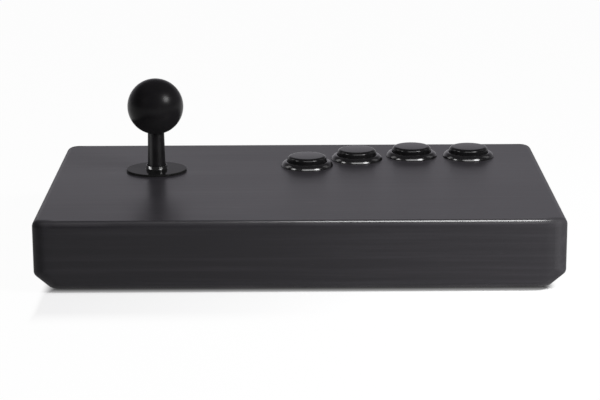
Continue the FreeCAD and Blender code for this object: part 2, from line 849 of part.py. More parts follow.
# shaft, sleeve and knob
knob_z = S.pivot_depth + S.knob_rise
knob_flat_z = knob_z - root(S.knob_radius * S.knob_radius - S.knob_flat * S.knob_flat)
shoulder = -S.actuator_shoulder
clip_top = shoulder - S.actuator_length
clip_under = clip_top - S.clip_thickness
shaft_end = clip_under - S.shaft_tail
shaft = turned("lever_shaft", [
    (0, shaft_end),
    (S.shaft_foot_radius, shaft_end),
    (S.shaft_foot_radius, clip_under),
    (S.clip_groove, clip_under),
    (S.clip_groove, clip_top),
    (S.shaft_foot_radius, clip_top),
    (S.shaft_foot_radius, shoulder),
    (S.shaft_core_radius, shoulder),
    (S.shaft_core_radius, S.sleeve_seat_rise),
    (S.shaft_neck_radius, S.sleeve_seat_rise),
    (S.shaft_neck_radius, knob_flat_z),
    (S.shaft_stud_radius, knob_flat_z),
    (S.shaft_stud_radius, knob_flat_z + S.stud_length),
    (0, knob_flat_z + S.stud_length),
])
shaft_bore = sketch_on(shaft, "shaft_cross_bore_at", "XZ_Plane", -S.ring_outer)
circle(shaft_bore, S.cross_pin_radius)
pocket(shaft, "shaft_cross_bore", shaft_bore, S.ring_outer * 2)
place(shaft, stick_x, stick_y, pivot_z)
finished(shaft, "lever_shaft")

sleeve = turned("shaft_sleeve", [
    (S.shaft_neck_radius + S.fit_gap, S.sleeve_seat_rise),
    (S.sleeve_foot_radius, S.sleeve_seat_rise),
    (S.sleeve_foot_radius, S.pivot_depth),
    (S.sleeve_top_radius, knob_flat_z),
    (S.shaft_neck_radius + S.fit_gap, knob_flat_z),
])
place(sleeve, stick_x, stick_y, pivot_z)
finished(sleeve, "shaft_sleeve")

knob_place = (stick_x, stick_y, pivot_z + knob_flat_z)
ball = doc.addObject("Part::Sphere", "knob_ball")
bind(ball, Radius=S.knob_radius)
place(ball, stick_x, stick_y, pivot_z + knob_z)
below = cylinder("knob_below", S.knob_radius, S.knob_radius, *knob_place, "-z")
insert_room = cylinder("knob_bore", S.knob_insert_radius, S.knob_insert_length, *knob_place)
finished(cut("knob_cut", ball, below, insert_room), "ball_knob")
insert_blank = cylinder("knob_insert_blank", S.knob_insert_radius, S.knob_insert_length, *knob_place)
insert_bore_size = (S.shaft_stud_radius + S.fit_gap, S.stud_length + S.run_gap)
insert_bore = cylinder("knob_insert_bore", *insert_bore_size, *knob_place)
finished(cut("knob_insert_cut", insert_blank, insert_bore), "knob_insert")

# dust washer with its raised rim, on a thin slip washer
hub_hole = S.dust_hub_radius - S.dust_hub_wall
dust_top = S.dust_thickness
dust = turned("dust_washer", [
    (hub_hole, 0),
    (S.dust_radius, 0),
    (S.dust_radius, dust_top),
    (S.dust_hub_radius, dust_top),
    (S.dust_hub_radius, dust_top + S.dust_hub_height),
    (hub_hole, dust_top + S.dust_hub_height),
])
fillet(dust, "dust_rim_round", S.dust_edge_round, lambda edge: ring_edge(edge, S.dust_radius, dust_top))
hub_top = dust_top + S.dust_hub_height
fillet(dust, "dust_hub_edge", S.dust_hub_round, lambda edge: ring_edge(edge, S.dust_hub_radius, hub_top))
place(dust, stick_x, stick_y, panel_top + S.slip_thickness)
finished(dust, "dust_washer")
slip_blank = cylinder("slip_disc", S.slip_radius, S.slip_thickness, stick_x, stick_y, panel_top)
slot_ends = []
for side in (-1, 1):
    end_place = (stick_x, stick_y + S.slip_slot_reach * side, panel_top)
    slot_ends.append(cylinder("slip_slot_end", S.slip_slot_radius, S.slip_thickness, *end_place))
slot_size = (S.slip_slot_radius * 2, S.slip_slot_reach * 2, S.slip_thickness)
slot_middle = box("slip_slot", *slot_size, stick_x, stick_y, panel_top)
finished(cut("slip_cut", slip_blank, *slot_ends, slot_middle), "slip_washer")

# centring spring on the actuator, against the web
seat_under = pivot_z + web_under - S.seat_thickness
seat_blank = cylinder("seat_disc", S.seat_radius, S.seat_thickness, stick_x, stick_y, seat_under)
seat_hole = cylinder("seat_hole", S.web_hole, S.seat_thickness, stick_x, stick_y, seat_under)
finished(cut("seat_cut", seat_blank, seat_hole), "spring_seat")
spring_under = pivot_z + shoulder
spring_length = seat_under - spring_under
coil_sizes = (S.lever_spring_radius, S.lever_spring_wire, spring_length, S.lever_spring_turns)
finished(coil("lever_coil", *coil_sizes, stick_x, stick_y, spring_under), "lever_spring")

actuator = turned("lever_actuator", [
    (S.shaft_foot_radius + S.fit_gap, clip_top),
    (S.actuator_radius, clip_top),
    (S.actuator_radius, shoulder - S.actuator_flange_thickness),
    (S.actuator_flange, shoulder - S.actuator_flange_thickness),
    (S.actuator_flange, shoulder),
    (S.shaft_foot_radius + S.fit_gap, shoulder),
])
place(actuator, stick_x, stick_y, pivot_z)
finished(actuator, "lever_actuator")
clip_z = pivot_z + clip_under
clip_blank = cylinder("clip_disc", S.clip_radius, S.clip_thickness, stick_x, stick_y, clip_z)
clip_bore = cylinder("clip_bore", S.clip_groove, S.clip_thickness, stick_x, stick_y, clip_z)
mouth_y = stick_y - S.clip_radius / 2
clip_mouth = box("clip_mouth", S.clip_mouth, S.clip_radius, S.clip_thickness, stick_x, mouth_y, clip_z)
finished(cut("clip_cut", clip_blank, clip_bore, clip_mouth), "retaining_clip")

# switch board, its four switches and the gate
lever_board = body_of("switch_board")
board_half = lever_board_side / 2
cut_at = board_half - S.lever_board_cut
tongue_half = S.tongue_width / 2
board_outline = sketch_on(lever_board, "switch_board_outline", offset=lever_board_under)
outline(board_outline, [
    (-cut_at, -board_half),
    (-tongue_half, -board_half),
    (-tongue_half, -tongue_reach),
    (tongue_half, -tongue_reach),
    (tongue_half, -board_half),
    (cut_at, -board_half),
    (board_half, -cut_at),
    (board_half, cut_at),
    (cut_at, board_half),
    (-cut_at, board_half),
    (-board_half, cut_at),
    (-board_half, -cut_at),
])
circle(board_outline, S.lever_board_hole)
pad(lever_board, "switch_board_sheet", board_outline, S.lever_board_thickness)
place(lever_board, stick_x, stick_y, pivot_z)
finished(lever_board, "switch_board")

stem_z = lever_switch_under + S.lever_switch_height / 2
stem_tip = S.actuator_radius / cosine(S.tilt_angle) - stem_z * tangent(S.tilt_angle) + S.run_gap
switch_face = stem_tip + S.lever_switch_stem_out
switch_middle = switch_face + S.lever_switch_depth / 2
switch_back = switch_face + S.lever_switch_depth
SIDES = {"right": 0, "rear": 90, "left": 180, "front": 270}
for side, angle in SIDES.items():
    block_size = (S.lever_switch_depth, S.lever_switch_length, S.lever_switch_height)
    stem_size = (S.lever_switch_stem, switch_middle - stem_tip)
    pieces = [
        box(f"lever_switch_{side}_block", *block_size, switch_middle, 0, lever_switch_under),
        cylinder(f"lever_switch_{side}_stem", *stem_size, stem_tip, 0, stem_z, "x"),
    ]
    for step in (-1, 0, 1):
        tab_size = (S.lever_switch_tab_length, S.lever_switch_tab_width, S.lever_switch_tab_thickness)
        tab_x = switch_back + S.lever_switch_tab_length / 2
        tab_y = S.lever_switch_tab_pitch * step
        pieces.append(box(f"lever_switch_{side}_tab", *tab_size, tab_x, tab_y, stem_z))
    unit = fused(f"lever_switch_{side}_unit", *pieces)
    unit.Placement = FreeCAD.Placement(ORIGIN, FreeCAD.Rotation(FreeCAD.Vector(0, 0, 1), angle))
    place(unit, stick_x, stick_y, pivot_z)
    finished(unit, f"lever_switch_{side}")

gate = body_of("restrictor_gate")
gate_outline = sketch_on(gate, "gate_outline", offset=gate_under)
rectangle(gate_outline, S.housing_side, S.housing_side)
pad(gate, "gate_sheet", gate_outline, S.gate_thickness)
fillet(gate, "gate_outer_corners", S.post_radius, upright)
gate_window = sketch_on(gate, "gate_window_at", offset=gate_under)
gate_half = S.actuator_radius / cosine(S.tilt_angle) - gate_under * tangent(S.tilt_angle) + S.run_gap
rectangle(gate_window, gate_half * 2, gate_half * 2)
pocket(gate, "gate_window", gate_window, S.gate_thickness)


def window_corner(edge):
    """True for an upright corner of the gate's window."""
    return upright(edge) and abs(abs(edge.BoundBox.XMin) - gate_half.value) < 1e-3


fillet(gate, "gate_window_corners", S.gate_corner, window_corner)
gate_bores = sketch_on(gate, "gate_bores_at", offset=gate_under)
for x, y in post_spots:
    circle(gate_bores, S.housing_screw_radius + S.fit_gap, x, y)
pocket(gate, "gate_bores", gate_bores, S.gate_thickness)
place(gate, stick_x, stick_y, pivot_z)
finished(gate, "restrictor_gate")

connector_y = stick_y - (tongue_reach - S.connector_depth / 2)
connector_size = (S.connector_width, S.connector_depth, S.connector_height)
connector = box("lever_connector", *connector_size, stick_x, connector_y, pivot_z + housing_bottom)
finished(connector, "lever_connector")

# pushbuttons: heights from the top of the panel
barrel_under = -S.barrel_depth
barrel_inner = S.barrel_radius - S.barrel_wall
lip_radius = S.plunger_radius + S.run_gap
floor_top = barrel_under + S.barrel_floor
stem_hole = S.plunger_stem + S.run_gap
switch_top = barrel_under - S.switch_drop
switch_under = switch_top - S.switch_height
flange_top = -(S.lip_depth + S.run_gap)
flange_under = flange_top - S.plunger_flange_height
plunger_inner = S.plunger_radius - S.plunger_wall
ceiling = S.plunger_rise - S.plunger_top
pin_tip = barrel_under - S.plunger_pin_length
for number, (x, y) in enumerate(button_spots, start=1):
    name = f"button_{number}"
    shell = turned(f"{name}_shell", [
        (stem_hole, barrel_under),
        (S.barrel_radius, barrel_under),
        (S.barrel_radius, 0),
        (S.bezel_radius, 0),
        (S.bezel_radius, S.bezel_height),
        (lip_radius, S.bezel_height),
        (lip_radius, -S.lip_depth),
        (barrel_inner, -S.lip_depth),
        (barrel_inner, floor_top),
        (stem_hole, floor_top),
    ])
    fillet(shell, f"{name}_bezel_edge", S.bezel_edge_round,
           lambda edge: ring_edge(edge, S.bezel_radius, S.bezel_height))
    fillet(shell, f"{name}_bezel_lip", S.bezel_lip_round,
           lambda edge: ring_edge(edge, lip_radius, S.bezel_height))
    arms = sketch_on(shell, f"{name}_arms_at", offset=barrel_under - S.arm_length)
    for side in (-1, 1):
        arm_x = (S.switch_length / 2 + S.arm_thickness / 2) * side
        rectangle(arms, S.arm_thickness, S.switch_width, arm_x)
    pad(shell, f"{name}_arms", arms, S.arm_length)
    place(shell, x, y, panel_top)
    finished(shell, f"{name}_housing")

    nut_z = panel_under - S.button_nut_height
    nut_blank = prism(f"{name}_nut_blank", 12, S.button_nut_radius, S.button_nut_height, x, y, nut_z)
    nut_bore = cylinder(f"{name}_nut_bore", S.barrel_radius + S.fit_gap, S.button_nut_height, x, y, nut_z)
    finished(cut(f"{name}_nut_cut", nut_blank, nut_bore), f"{name}_nut")

    plunger = turned(f"{name}_cap", [
        (0, pin_tip),
        (S.plunger_pin, pin_tip),
        (S.plunger_pin, barrel_under),
        (S.plunger_stem, barrel_under),
        (S.plunger_stem, ceiling),
        (plunger_inner, ceiling),
        (plunger_inner, flange_under),
        (S.plunger_flange, flange_under),
        (S.plunger_flange, flange_top),
        (S.plunger_radius, flange_top),
        (S.plunger_radius, S.plunger_rise),
        (0, S.plunger_rise),
    ])
    fillet(plunger, f"{name}_cap_edge", S.plunger_round,
           lambda edge: ring_edge(edge, S.plunger_radius, S.plunger_rise))
    place(plunger, x, y, panel_top)
    finished(plunger, f"{name}_plunger")

    coil_length = ceiling - floor_top
    coil_sizes = (S.button_spring_radius, S.button_spring_wire, coil_length, S.button_spring_turns)
    finished(coil(f"{name}_coil", *coil_sizes, x, y, panel_top + floor_top), f"{name}_spring")

    block_size = (S.switch_length, S.switch_width, S.switch_height)
    block = box(f"{name}_switch_block", *block_size, x, y, panel_top + switch_under)
    tabs = []
    for side in (-1, 1):
        tab_size = (S.switch_tab_width, S.switch_tab_thickness, S.switch_tab_length)
        tab_z = panel_top + switch_under - S.switch_tab_length
        tabs.append(box(f"{name}_switch_tab", *tab_size, x + S.switch_tab_offset * side, y, tab_z))
    pin_room_depth = switch_top - pin_tip + S.button_travel + S.run_gap
    pin_room_z = panel_top + switch_top - pin_room_depth
    pin_room = cylinder(f"{name}_pin_room", S.plunger_pin + S.run_gap, pin_room_depth, x, y, pin_room_z)
    switch_blank = fused(f"{name}_switch_blank", block, *tabs)
    finished(cut(f"{name}_switch_cut", switch_blank, pin_room), f"{name}_switch")

# control board under the panel
board_top = panel_under - S.spacer_height
board_under = board_top - S.board_thickness
control = body_of("control_board")
control_outline = sketch_on(control, "control_board_outline")
rectangle(control_outline, S.board_length, S.board_width)
for x, y in board_screw_spots:
    circle(control_outline, S.board_screw_radius + S.fit_gap, x, y)
pad(control, "control_board_sheet", control_outline, S.board_thickness)
place(control, board_x, board_y, board_under)
finished(control, "control_board")
chip_size = (S.chip_side, S.chip_side, S.chip_height)
chip = box("control_chip", *chip_size, board_x, board_y, board_under - S.chip_height)
finished(chip, "control_chip")
spacers = []
screws = []
for x, y in board_screw_spots:
    spot = (board_x + x, board_y + y)
    tube = cylinder("spacer_tube", S.spacer_radius, S.spacer_height, *spot, board_top)
    bore = cylinder("spacer_bore", S.board_screw_radius + S.fit_gap, S.spacer_height, *spot, board_top)
    spacers.append(cut("spacer", tube, bore))
    head_z = board_under - S.board_screw_head_height
    head = cylinder("board_screw_head", S.board_screw_head, S.board_screw_head_height, *spot, head_z)
    shank_length = panel_under + S.board_screw_bite - head_z
    shank = cylinder("board_screw_shank", S.board_screw_radius, shank_length, *spot, head_z)
    screws.append(fused("board_screw", head, shank))
finished(group("spacer_set", spacers), "board_spacers")
finished(group("board_screw_set", screws), "board_screws")

board_rear = board_y + S.board_width / 2
board_right = board_x + S.board_length / 2
header_z = board_under - S.header_height
header_size = (S.header_width, S.header_depth, S.header_height)
header_y = board_rear - S.header_depth / 2
WIRES = BUTTONS * 2
strip_length = S.button_header_pitch * WIRES
strip_size = (S.header_depth, strip_length, S.header_height)
strip_x = board_right - S.header_depth / 2
lever_header_x = board_x + S.lever_header_offset
socket_header_x = board_x + S.socket_header_offset
headers = [
    box("lever_header", *header_size, lever_header_x, header_y, header_z),
    box("socket_header", *header_size, socket_header_x, header_y, header_z),
    box("button_header", *strip_size, strip_x, board_y, header_z),
]
finished(group("header_set", headers), "board_headers")

# rear socket, flush in the rear wall
socket_place = (socket_x, socket_face, socket_z)
flange = cylinder("socket_flange", S.socket_flange_radius, S.socket_flange_thickness, *socket_place, "-y")
barrel = cylinder("socket_barrel", S.socket_barrel_radius, S.socket_length, *socket_place, "-y")
mouth = cylinder("socket_mouth", S.socket_bore, S.socket_bore_depth, *socket_place, "-y")
core = cylinder("socket_core", S.socket_insert_radius + S.fit_gap, S.socket_length, *socket_place, "-y")
finished(cut("socket_cut", fused("socket_blank", flange, barrel), mouth, core), "socket_shell")
insert_y = socket_face - S.socket_bore_depth
insert_length = S.socket_length - S.socket_bore_depth + S.socket_back
insert_size = (S.socket_insert_radius, insert_length)
insert = cylinder("insert_disc", *insert_size, socket_x, insert_y, socket_z, "-y")
contacts = []
for i, j in ((1, 1), (1, -1), (-1, 1), (-1, -1)):
    reach = S.socket_contact_circle / root(as_size(2))
    contact_size = (S.socket_contact_radius, S.socket_contact_depth)
    spot = (socket_x + reach * i, insert_y, socket_z + reach * j)
    contacts.append(cylinder("insert_contact", *contact_size, *spot, "-y"))
finished(cut("insert_cut", insert, *contacts), "socket_insert")
nut_y = S.case_depth / 2 - S.end_wall
socket_nut_place = (socket_x, nut_y, socket_z)
nut_blank = prism("socket_nut_blank", 6, S.socket_nut_radius, S.socket_nut_height, *socket_nut_place, "-y")
nut_bore_size = (S.socket_barrel_radius + S.fit_gap, S.socket_nut_height)
nut_bore = cylinder("socket_nut_bore", *nut_bore_size, *socket_nut_place, "-y")
finished(cut("socket_nut_cut", nut_blank, nut_bore), "socket_nut")

# wiring
lead_z = header_z + S.header_height / 2
lever_start = connector_y - S.connector_depth / 2
lever_lead_z = pivot_z + housing_bottom + S.connector_height / 2
lever_route = [
    (stick_x, lever_start, lever_lead_z),
    (stick_x, lever_start - S.lead_straight, lever_lead_z),
    (lever_header_x, board_rear + S.lead_straight, lead_z),
    (lever_header_x, board_rear, lead_z),
]
finished(shaped("lever_lead", lead_shape(S.lead_radius, lever_route)), "lever_lead")
socket_start = socket_face - S.socket_length - S.socket_back
socket_route = [
    (socket_x, socket_start, socket_z),
    (socket_x, socket_start - S.lead_straight, socket_z),
    (socket_header_x, board_rear + S.lead_straight, lead_z),
    (socket_header_x, board_rear, lead_z),
]
finished(shaped("socket_lead", lead_shape(S.lead_radius, socket_route)), "socket_lead")
wires = []
wire_z = panel_top + switch_under - S.switch_tab_length / 2
for index in range(WIRES):
    x, y = button_spots[index // 2]
    tab_x = x + S.switch_tab_offset * (-1 if index % 2 == 0 else 1)
    tab_y = y - S.switch_tab_thickness / 2 - S.solder_gap
    pin_y = board_y + S.button_header_pitch * ((WIRES - 1) / 2 - index)
    wires.append(lead_shape(S.wire_radius, [
        (tab_x, tab_y, wire_z),
        (tab_x, pin_y, lead_z),
        (board_right, pin_y, lead_z),
    ]))
finished(shaped("button_leads", Part.makeCompound(wires)), "button_leads")

doc.recompute()
for thing in doc.Objects:
    if "Invalid" in thing.State or "Error" in thing.State:
        raise RuntimeError(f"{thing.Name} is {thing.State}")
os.makedirs("parts", exist_ok=True)
for thing in PARTS:
    if thing.Shape.isNull() or not thing.Shape.isValid() or not thing.Shape.Solids:
        raise RuntimeError(f"{thing.Label} has no sound solid")
    thing.Shape.exportStep(f"parts/{thing.Label}.step")
print(len(PARTS), "sub-parts written")
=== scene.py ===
import json
import math

import bmesh
import bpy
from bpy.props import FloatProperty, FloatVectorProperty, IntProperty, PointerProperty
from mathutils import Matrix, Vector


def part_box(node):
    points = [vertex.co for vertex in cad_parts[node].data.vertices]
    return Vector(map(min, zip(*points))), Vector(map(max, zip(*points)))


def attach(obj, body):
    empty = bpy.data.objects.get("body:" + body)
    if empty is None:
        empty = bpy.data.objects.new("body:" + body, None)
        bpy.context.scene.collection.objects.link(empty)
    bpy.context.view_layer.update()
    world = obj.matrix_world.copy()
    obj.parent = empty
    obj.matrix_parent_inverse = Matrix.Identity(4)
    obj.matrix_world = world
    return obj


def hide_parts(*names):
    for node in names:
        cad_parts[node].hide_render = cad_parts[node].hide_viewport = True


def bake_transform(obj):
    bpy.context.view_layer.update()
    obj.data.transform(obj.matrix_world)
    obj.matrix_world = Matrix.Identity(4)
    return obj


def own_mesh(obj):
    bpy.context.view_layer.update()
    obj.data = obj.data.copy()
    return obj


bl_info = {
    "name": "Arcade stick",
    "version": (1, 0, 0),
    "blender": (4, 5, 0),
    "location": "View3D > Sidebar > Arcade stick",
    "description": "Dresses the arcade stick's frame with its finishes and its turned and moulded pieces",
    "category": "Object",
}

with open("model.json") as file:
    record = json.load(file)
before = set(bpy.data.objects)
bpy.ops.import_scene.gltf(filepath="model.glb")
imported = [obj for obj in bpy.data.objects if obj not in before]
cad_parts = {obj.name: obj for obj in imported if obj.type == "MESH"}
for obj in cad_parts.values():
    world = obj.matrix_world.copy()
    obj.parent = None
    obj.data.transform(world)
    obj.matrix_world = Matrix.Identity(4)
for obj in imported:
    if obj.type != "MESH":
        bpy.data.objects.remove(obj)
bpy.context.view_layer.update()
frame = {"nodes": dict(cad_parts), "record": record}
BUTTONS = 4
MM = 0.001
FULL_TURN = 2 * math.pi
# points nearer than these are one point
MERGED = 1e-7
NEAR = 1e-6
SHARP = math.radians(35)
HUB_STEPS = 12
COIL_STEPS = 32
WIRE_SIDES = 10
# shares of the cap's radius, and of the crown's height by which the cap is lower there
CROWN = ((0.8, 0.62), (0.55, 0.28), (0.28, 0.07))


def middle(node):
    """The middle of a node's box."""
    low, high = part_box(node)
    return (low + high) / 2


def half_width(node):
    """Half of a node's box along X."""
    low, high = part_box(node)
    return (high.x - low.x) / 2


# settings


def length(name, description, default):
    return FloatProperty(
        name=name, description=description, default=default, min=0.0, unit="LENGTH", precision=5
    )


def colour(name, description, default):
    return FloatVectorProperty(
        name=name, description=description, default=default, subtype="COLOR", min=0.0, max=1.0
    )


def share(name, description, default):
    return FloatProperty(
        name=name, description=description, default=default, min=0.0, max=1.0, subtype="FACTOR"
    )


def amount(name, description, default):
    return FloatProperty(name=name, description=description, default=default)


def count(name, description, default):
    return IntProperty(name=name, description=description, default=default, min=12)


def angle(name, description, degrees):
    return FloatProperty(
        name=name, description=description, default=math.radians(degrees), subtype="ANGLE"
    )


def position(name, description, default):
    return FloatVectorProperty(
        name=name,
        description=description,
        default=default,
        subtype="TRANSLATION",
        unit="LENGTH",
        precision=5,
    )


class CaseSettings(bpy.types.PropertyGroup):
    """The wooden case."""

    stain: colour("Stain", "Colour of the stained wood", (0.0140, 0.0132, 0.0152))
    grain: colour("Grain", "Colour of the paler streaks of grain", (0.0215, 0.0203, 0.0232))
    rubbed: colour("Rubbed edge", "Colour where the lacquer is rubbed through", (0.070, 0.066, 0.070))
    roughness: share("Roughness", "Mean roughness of the lacquer", 0.33)
    specular: share("Specular", "Reflection of the stained wood", 0.14)
    coat_roughness: share("Coat roughness", "Roughness of the lacquer on the long edges", 0.18)
    coat_ior: amount("Coat index", "Index of refraction of the lacquer on the long edges", 1.9)
    relief: length("Relief", "Depth of the grain", 0.06 * MM)
    edge: length("Edge radius", "Radius of the rounded edges", 4.0 * MM)


class LeverSettings(bpy.types.PropertyGroup):
    """The stick above the panel."""

    plastic: colour("Knob", "Colour of the knob's plastic", (0.0066, 0.0062, 0.0068))
    roughness: share("Knob roughness", "Mean roughness of the knob", 0.29)
    segments: count("Segments", "Faces round a turned piece", 96)
    rings: count("Rings", "Rings of faces from the knob's top to its foot", 72)
    knob_flat: length("Knob flat", "Radius of the flat under the knob", 5.6 * MM)
    knob_round: length("Knob round", "Rounding of the flat's edge", 0.336 * MM)
    sleeve_top: length("Sleeve top", "Radius of the sleeve under the knob", 5.15 * MM)
    sleeve_wall: length("Sleeve wall", "Wall of the sleeve at its foot", 1.5 * MM)
    foot_round: length("Sleeve foot round", "Rounding of the sleeve's lower edge", 0.4 * MM)
    head_round: length("Sleeve head round", "Rounding of the sleeve's upper edge", 0.3 * MM)
    hub: length("Hub radius", "Outer radius of the dust washer's hub", 6.85 * MM)
    hub_wall: length("Hub wall", "Wall of the dust washer's hub", 0.55 * MM)
    disc: length("Disc thickness", "Thickness of the dust washer", 1.1 * MM)
    disc_roughness: share("Disc roughness", "Mean roughness of the dust washer", 0.10)
    disc_specular: share("Disc specular", "Reflection of the dust washer", 0.016)
    hub_roughness: share("Hub roughness", "Roughness of the polish on the hub", 0.16)
    hub_ior: amount("Hub index", "Index of refraction of the polish on the hub", 1.5)
    rim_band: length("Rim band", "Width of the band beside the washer's rounded rim", 1.0 * MM)
    rim_round: length("Rim round", "Rounding of the washer's upper edge", 0.45 * MM)
    under_round: length("Under round", "Rounding of the washer's lower edge", 0.2 * MM)
    lean: length("Hub lean", "How much narrower the hub is at its top", 0.32 * MM)
    bulge: length("Hub bulge", "How much the hub's wall swells at half height", 0.02 * MM)
    wire: length("Spring wire", "Radius of the centring spring's wire", 0.5 * MM)
    turns: amount("Spring turns", "Turns of the centring spring", 2.5)
    split: share("Spring split", "Share of the centring spring that gives way to the left and right", 0.75)


class ButtonSettings(bpy.types.PropertyGroup):
    """The four pushbuttons."""

    plastic: colour("Plastic", "Colour of the moulded plastic", (0.0030, 0.0029, 0.0031))
    roughness: share("Roughness", "Mean roughness of the plastic", 0.16)
    bezel_foot: length("Bezel foot", "Height of the upright band at the bezel's foot", 0.3 * MM)
    bezel_slope: length("Bezel slope", "Height of the top of the bezel's slanted face", 1.7 * MM)
    bezel_lean: length("Bezel lean", "How much the bezel's slanted face leans in", 0.78 * MM)
    bezel_flat: length("Bezel flat", "How far the bezel's flat top is inside its outer edge", 2.4 * MM)
    bezel_round: length("Bezel round", "Rounding between the bezel's faces", 0.9 * MM)
    foot_round: length("Foot round", "Rounding over the bezel's upright band", 0.18 * MM)
    lip_round: length("Lip round", "Rounding of the bezel's inner edge", 0.5 * MM)
    lip_depth: length("Lip depth", "Depth of the narrow mouth under the panel's top", 2.0 * MM)
    barrel: length("Barrel radius", "Outer radius of the barrel in the panel", 14.75 * MM)
    barrel_wall: length("Barrel wall", "Wall of the barrel", 1.2 * MM)
    barrel_depth: length("Barrel depth", "Depth of the barrel under the panel's top", 19.0 * MM)
    barrel_floor: length("Barrel floor", "Thickness of the barrel's floor", 1.5 * MM)
    barrel_round: length("Barrel round", "Rounding of the barrel's lower edge", 0.6 * MM)
    guide: length("Guide", "Radius of the hole for the stem in the barrel's floor", 3.3 * MM)
    arm_out: length("Arm place", "Distance of the switch's holding arms from the middle", 11.0 * MM)
    arm_thick: length("Arm thickness", "Thickness of an arm", 2.0 * MM)
    arm_wide: length("Arm width", "Width of an arm", 6.4 * MM)
    plunger: length("Plunger radius", "Radius of the plunger's cap", 12.4 * MM)
    plunger_round: length("Plunger round", "Rounding of the cap's edge", 2.1 * MM)
    crown: length("Crown", "How much the cap's middle stands above its edge", 0.25 * MM)
    cap_wall: length("Cap wall", "Wall of the plunger's cap", 1.6 * MM)
    cap_top: length("Cap top", "Thickness of the cap's top", 2.2 * MM)
    flange_drop: length("Flange drop", "Depth of the plunger's flange under the panel's top", 2.3 * MM)
    flange_thick: length("Flange thickness", "Thickness of the plunger's flange", 2.7 * MM)
    stem: length("Stem radius", "Radius of the plunger's stem", 3.0 * MM)
    pin: length("Pin radius", "Radius of the pin that works the switch", 1.4 * MM)
    pin_round: length("Pin round", "Rounding of the pin's end", 0.4 * MM)
    gap: length("Gap", "Running gap round the plunger", 0.3 * MM)
    wire: length("Spring wire", "Radius of a button spring's wire", 0.4 * MM)
    turns: amount("Spring turns", "Turns of a button spring", 6.5)


class StageSettings(bpy.types.PropertyGroup):
    """Floor, light and camera."""

    floor: colour("Floor", "Colour of the floor", (0.93, 0.93, 0.93))
    key: amount("Key light", "Power of the soft lamp at the right", 5.4)
    edge: amount("Edge light", "Power of the lamp over the case's front edge", 5.6)
    wash: amount("Wash light", "Power of the low lamp on the case's front", 1.15)
    fill: amount("Fill light", "Strength of the light from the left", 0.08)
    bounce: amount("Bounce", "Strength of the light from below on the knob", 2.1)
    glint: amount("Glints", "Radiance of the lamps that show in glossy plastic", 20.0)
    behind: share("Behind", "Brightness of the room behind the object", 0.635)
    front: share("Front", "Brightness of the room in front of the object", 0.06)
    above: share("Above", "Brightness that the room gains overhead", 0.04)
    bare: share("Bare floor", "How white the camera sees the floor close to the object", 0.62)
    sensor: amount("Sensor", "Width of the camera's sensor in millimetres", 36.0)
    lens: amount("Lens", "Focal length of the camera in millimetres", 120.0)
    spot: position("Camera", "Where the camera stands", (-1.38 * MM, -1202.4 * MM, 339.27 * MM))
    pitch: angle("Pitch", "How far the camera looks down", 14.448)
    yaw: angle("Yaw", "How far the camera looks to the right", 0.082)
    roll: angle("Roll", "How far the camera leans", -0.245)


SETTINGS = {
    "arcade_case": CaseSettings,
    "arcade_lever": LeverSettings,
    "arcade_buttons": ButtonSettings,
    "arcade_stage": StageSettings,
}

# finishes


class Field:
    """A socket of a node tree, in expressions that add Math nodes."""

    def __init__(self, tree, socket):
        self.tree = tree
        self.socket = socket

    def math(self, operation, *others):
        values = dict(enumerate((self,) + others))
        return self.tree.node("ShaderNodeMath", {"operation": operation}, values)

    def __add__(self, other):
        return self.math("ADD", other)

    def __sub__(self, other):
        return self.math("SUBTRACT", other)

    def __mul__(self, other):
        return self.math("MULTIPLY", other)

    def __truediv__(self, other):
        return self.math("DIVIDE", other)

    def __rsub__(self, other):
        return self.tree.node("ShaderNodeMath", {"operation": "SUBTRACT"}, {0: other, 1: self})

    __radd__ = __add__
    __rmul__ = __mul__

    def __abs__(self):
        return self.math("ABSOLUTE")

    def least(self, other):
        return self.math("MINIMUM", other)

    def most(self, other):
        return self.math("MAXIMUM", other)

    def between(self, low, high):
        """0 under low, 1 over high and smooth between them."""
        settings = {"interpolation_type": "SMOOTHSTEP"}
        sockets = {"Value": self, "From Min": low, "From Max": high}
        return self.tree.node("ShaderNodeMapRange", settings, sockets)


class Tree:
    """A node tree that is built by expressions."""

    def __init__(self, nodes):
        self.nodes = nodes
        nodes.nodes.clear()

    def node(self, kind, settings=None, sockets=None, output=0):
        """A new node with its settings and then its sockets, as the Field of one output."""
        made = self.nodes.nodes.new(kind)
        for name, value in (settings or {}).items():
            setattr(made, name, value)
        for key, value in (sockets or {}).items():
            if isinstance(value, Field):
                self.nodes.links.new(value.socket, made.inputs[key])
            else:
                made.inputs[key].default_value = value
        return Field(self, made.outputs[output] if made.outputs else None)

    def place(self):
        """Where a point of the piece is, in metres."""
        return self.node("ShaderNodeTexCoord", output="Object")

    def axes(self, vector):
        apart = {"Vector": vector}
        return [self.node("ShaderNodeSeparateXYZ", None, apart, axis) for axis in "XYZ"]

    def noise(self, vector, scale, detail=3.0, roughness=0.5):
        """Noise with its own scale along each axis, in waves a metre."""
        spread = self.node("ShaderNodeMapping", None, {"Vector": vector, "Scale": scale})
        sockets = {"Vector": spread, "Scale": 1.0, "Detail": detail, "Roughness": roughness}
        return self.node("ShaderNodeTexNoise", None, sockets)

    def blend(self, factor, low, high):
        """A colour from low to high."""
        colours = {0: factor, 6: rgba(low), 7: rgba(high)}
        return self.node("ShaderNodeMix", {"data_type": "RGBA"}, colours, 2)

    def bump(self, height, depth):
        """A relief of a depth in metres."""
        return self.node("ShaderNodeBump", None, {"Strength": 1.0, "Distance": depth, "Height": height})


def rgba(value):
    """A colour with its alpha, or a Field as it is."""
    if isinstance(value, Field):
        return value
    return (*value, 1.0)


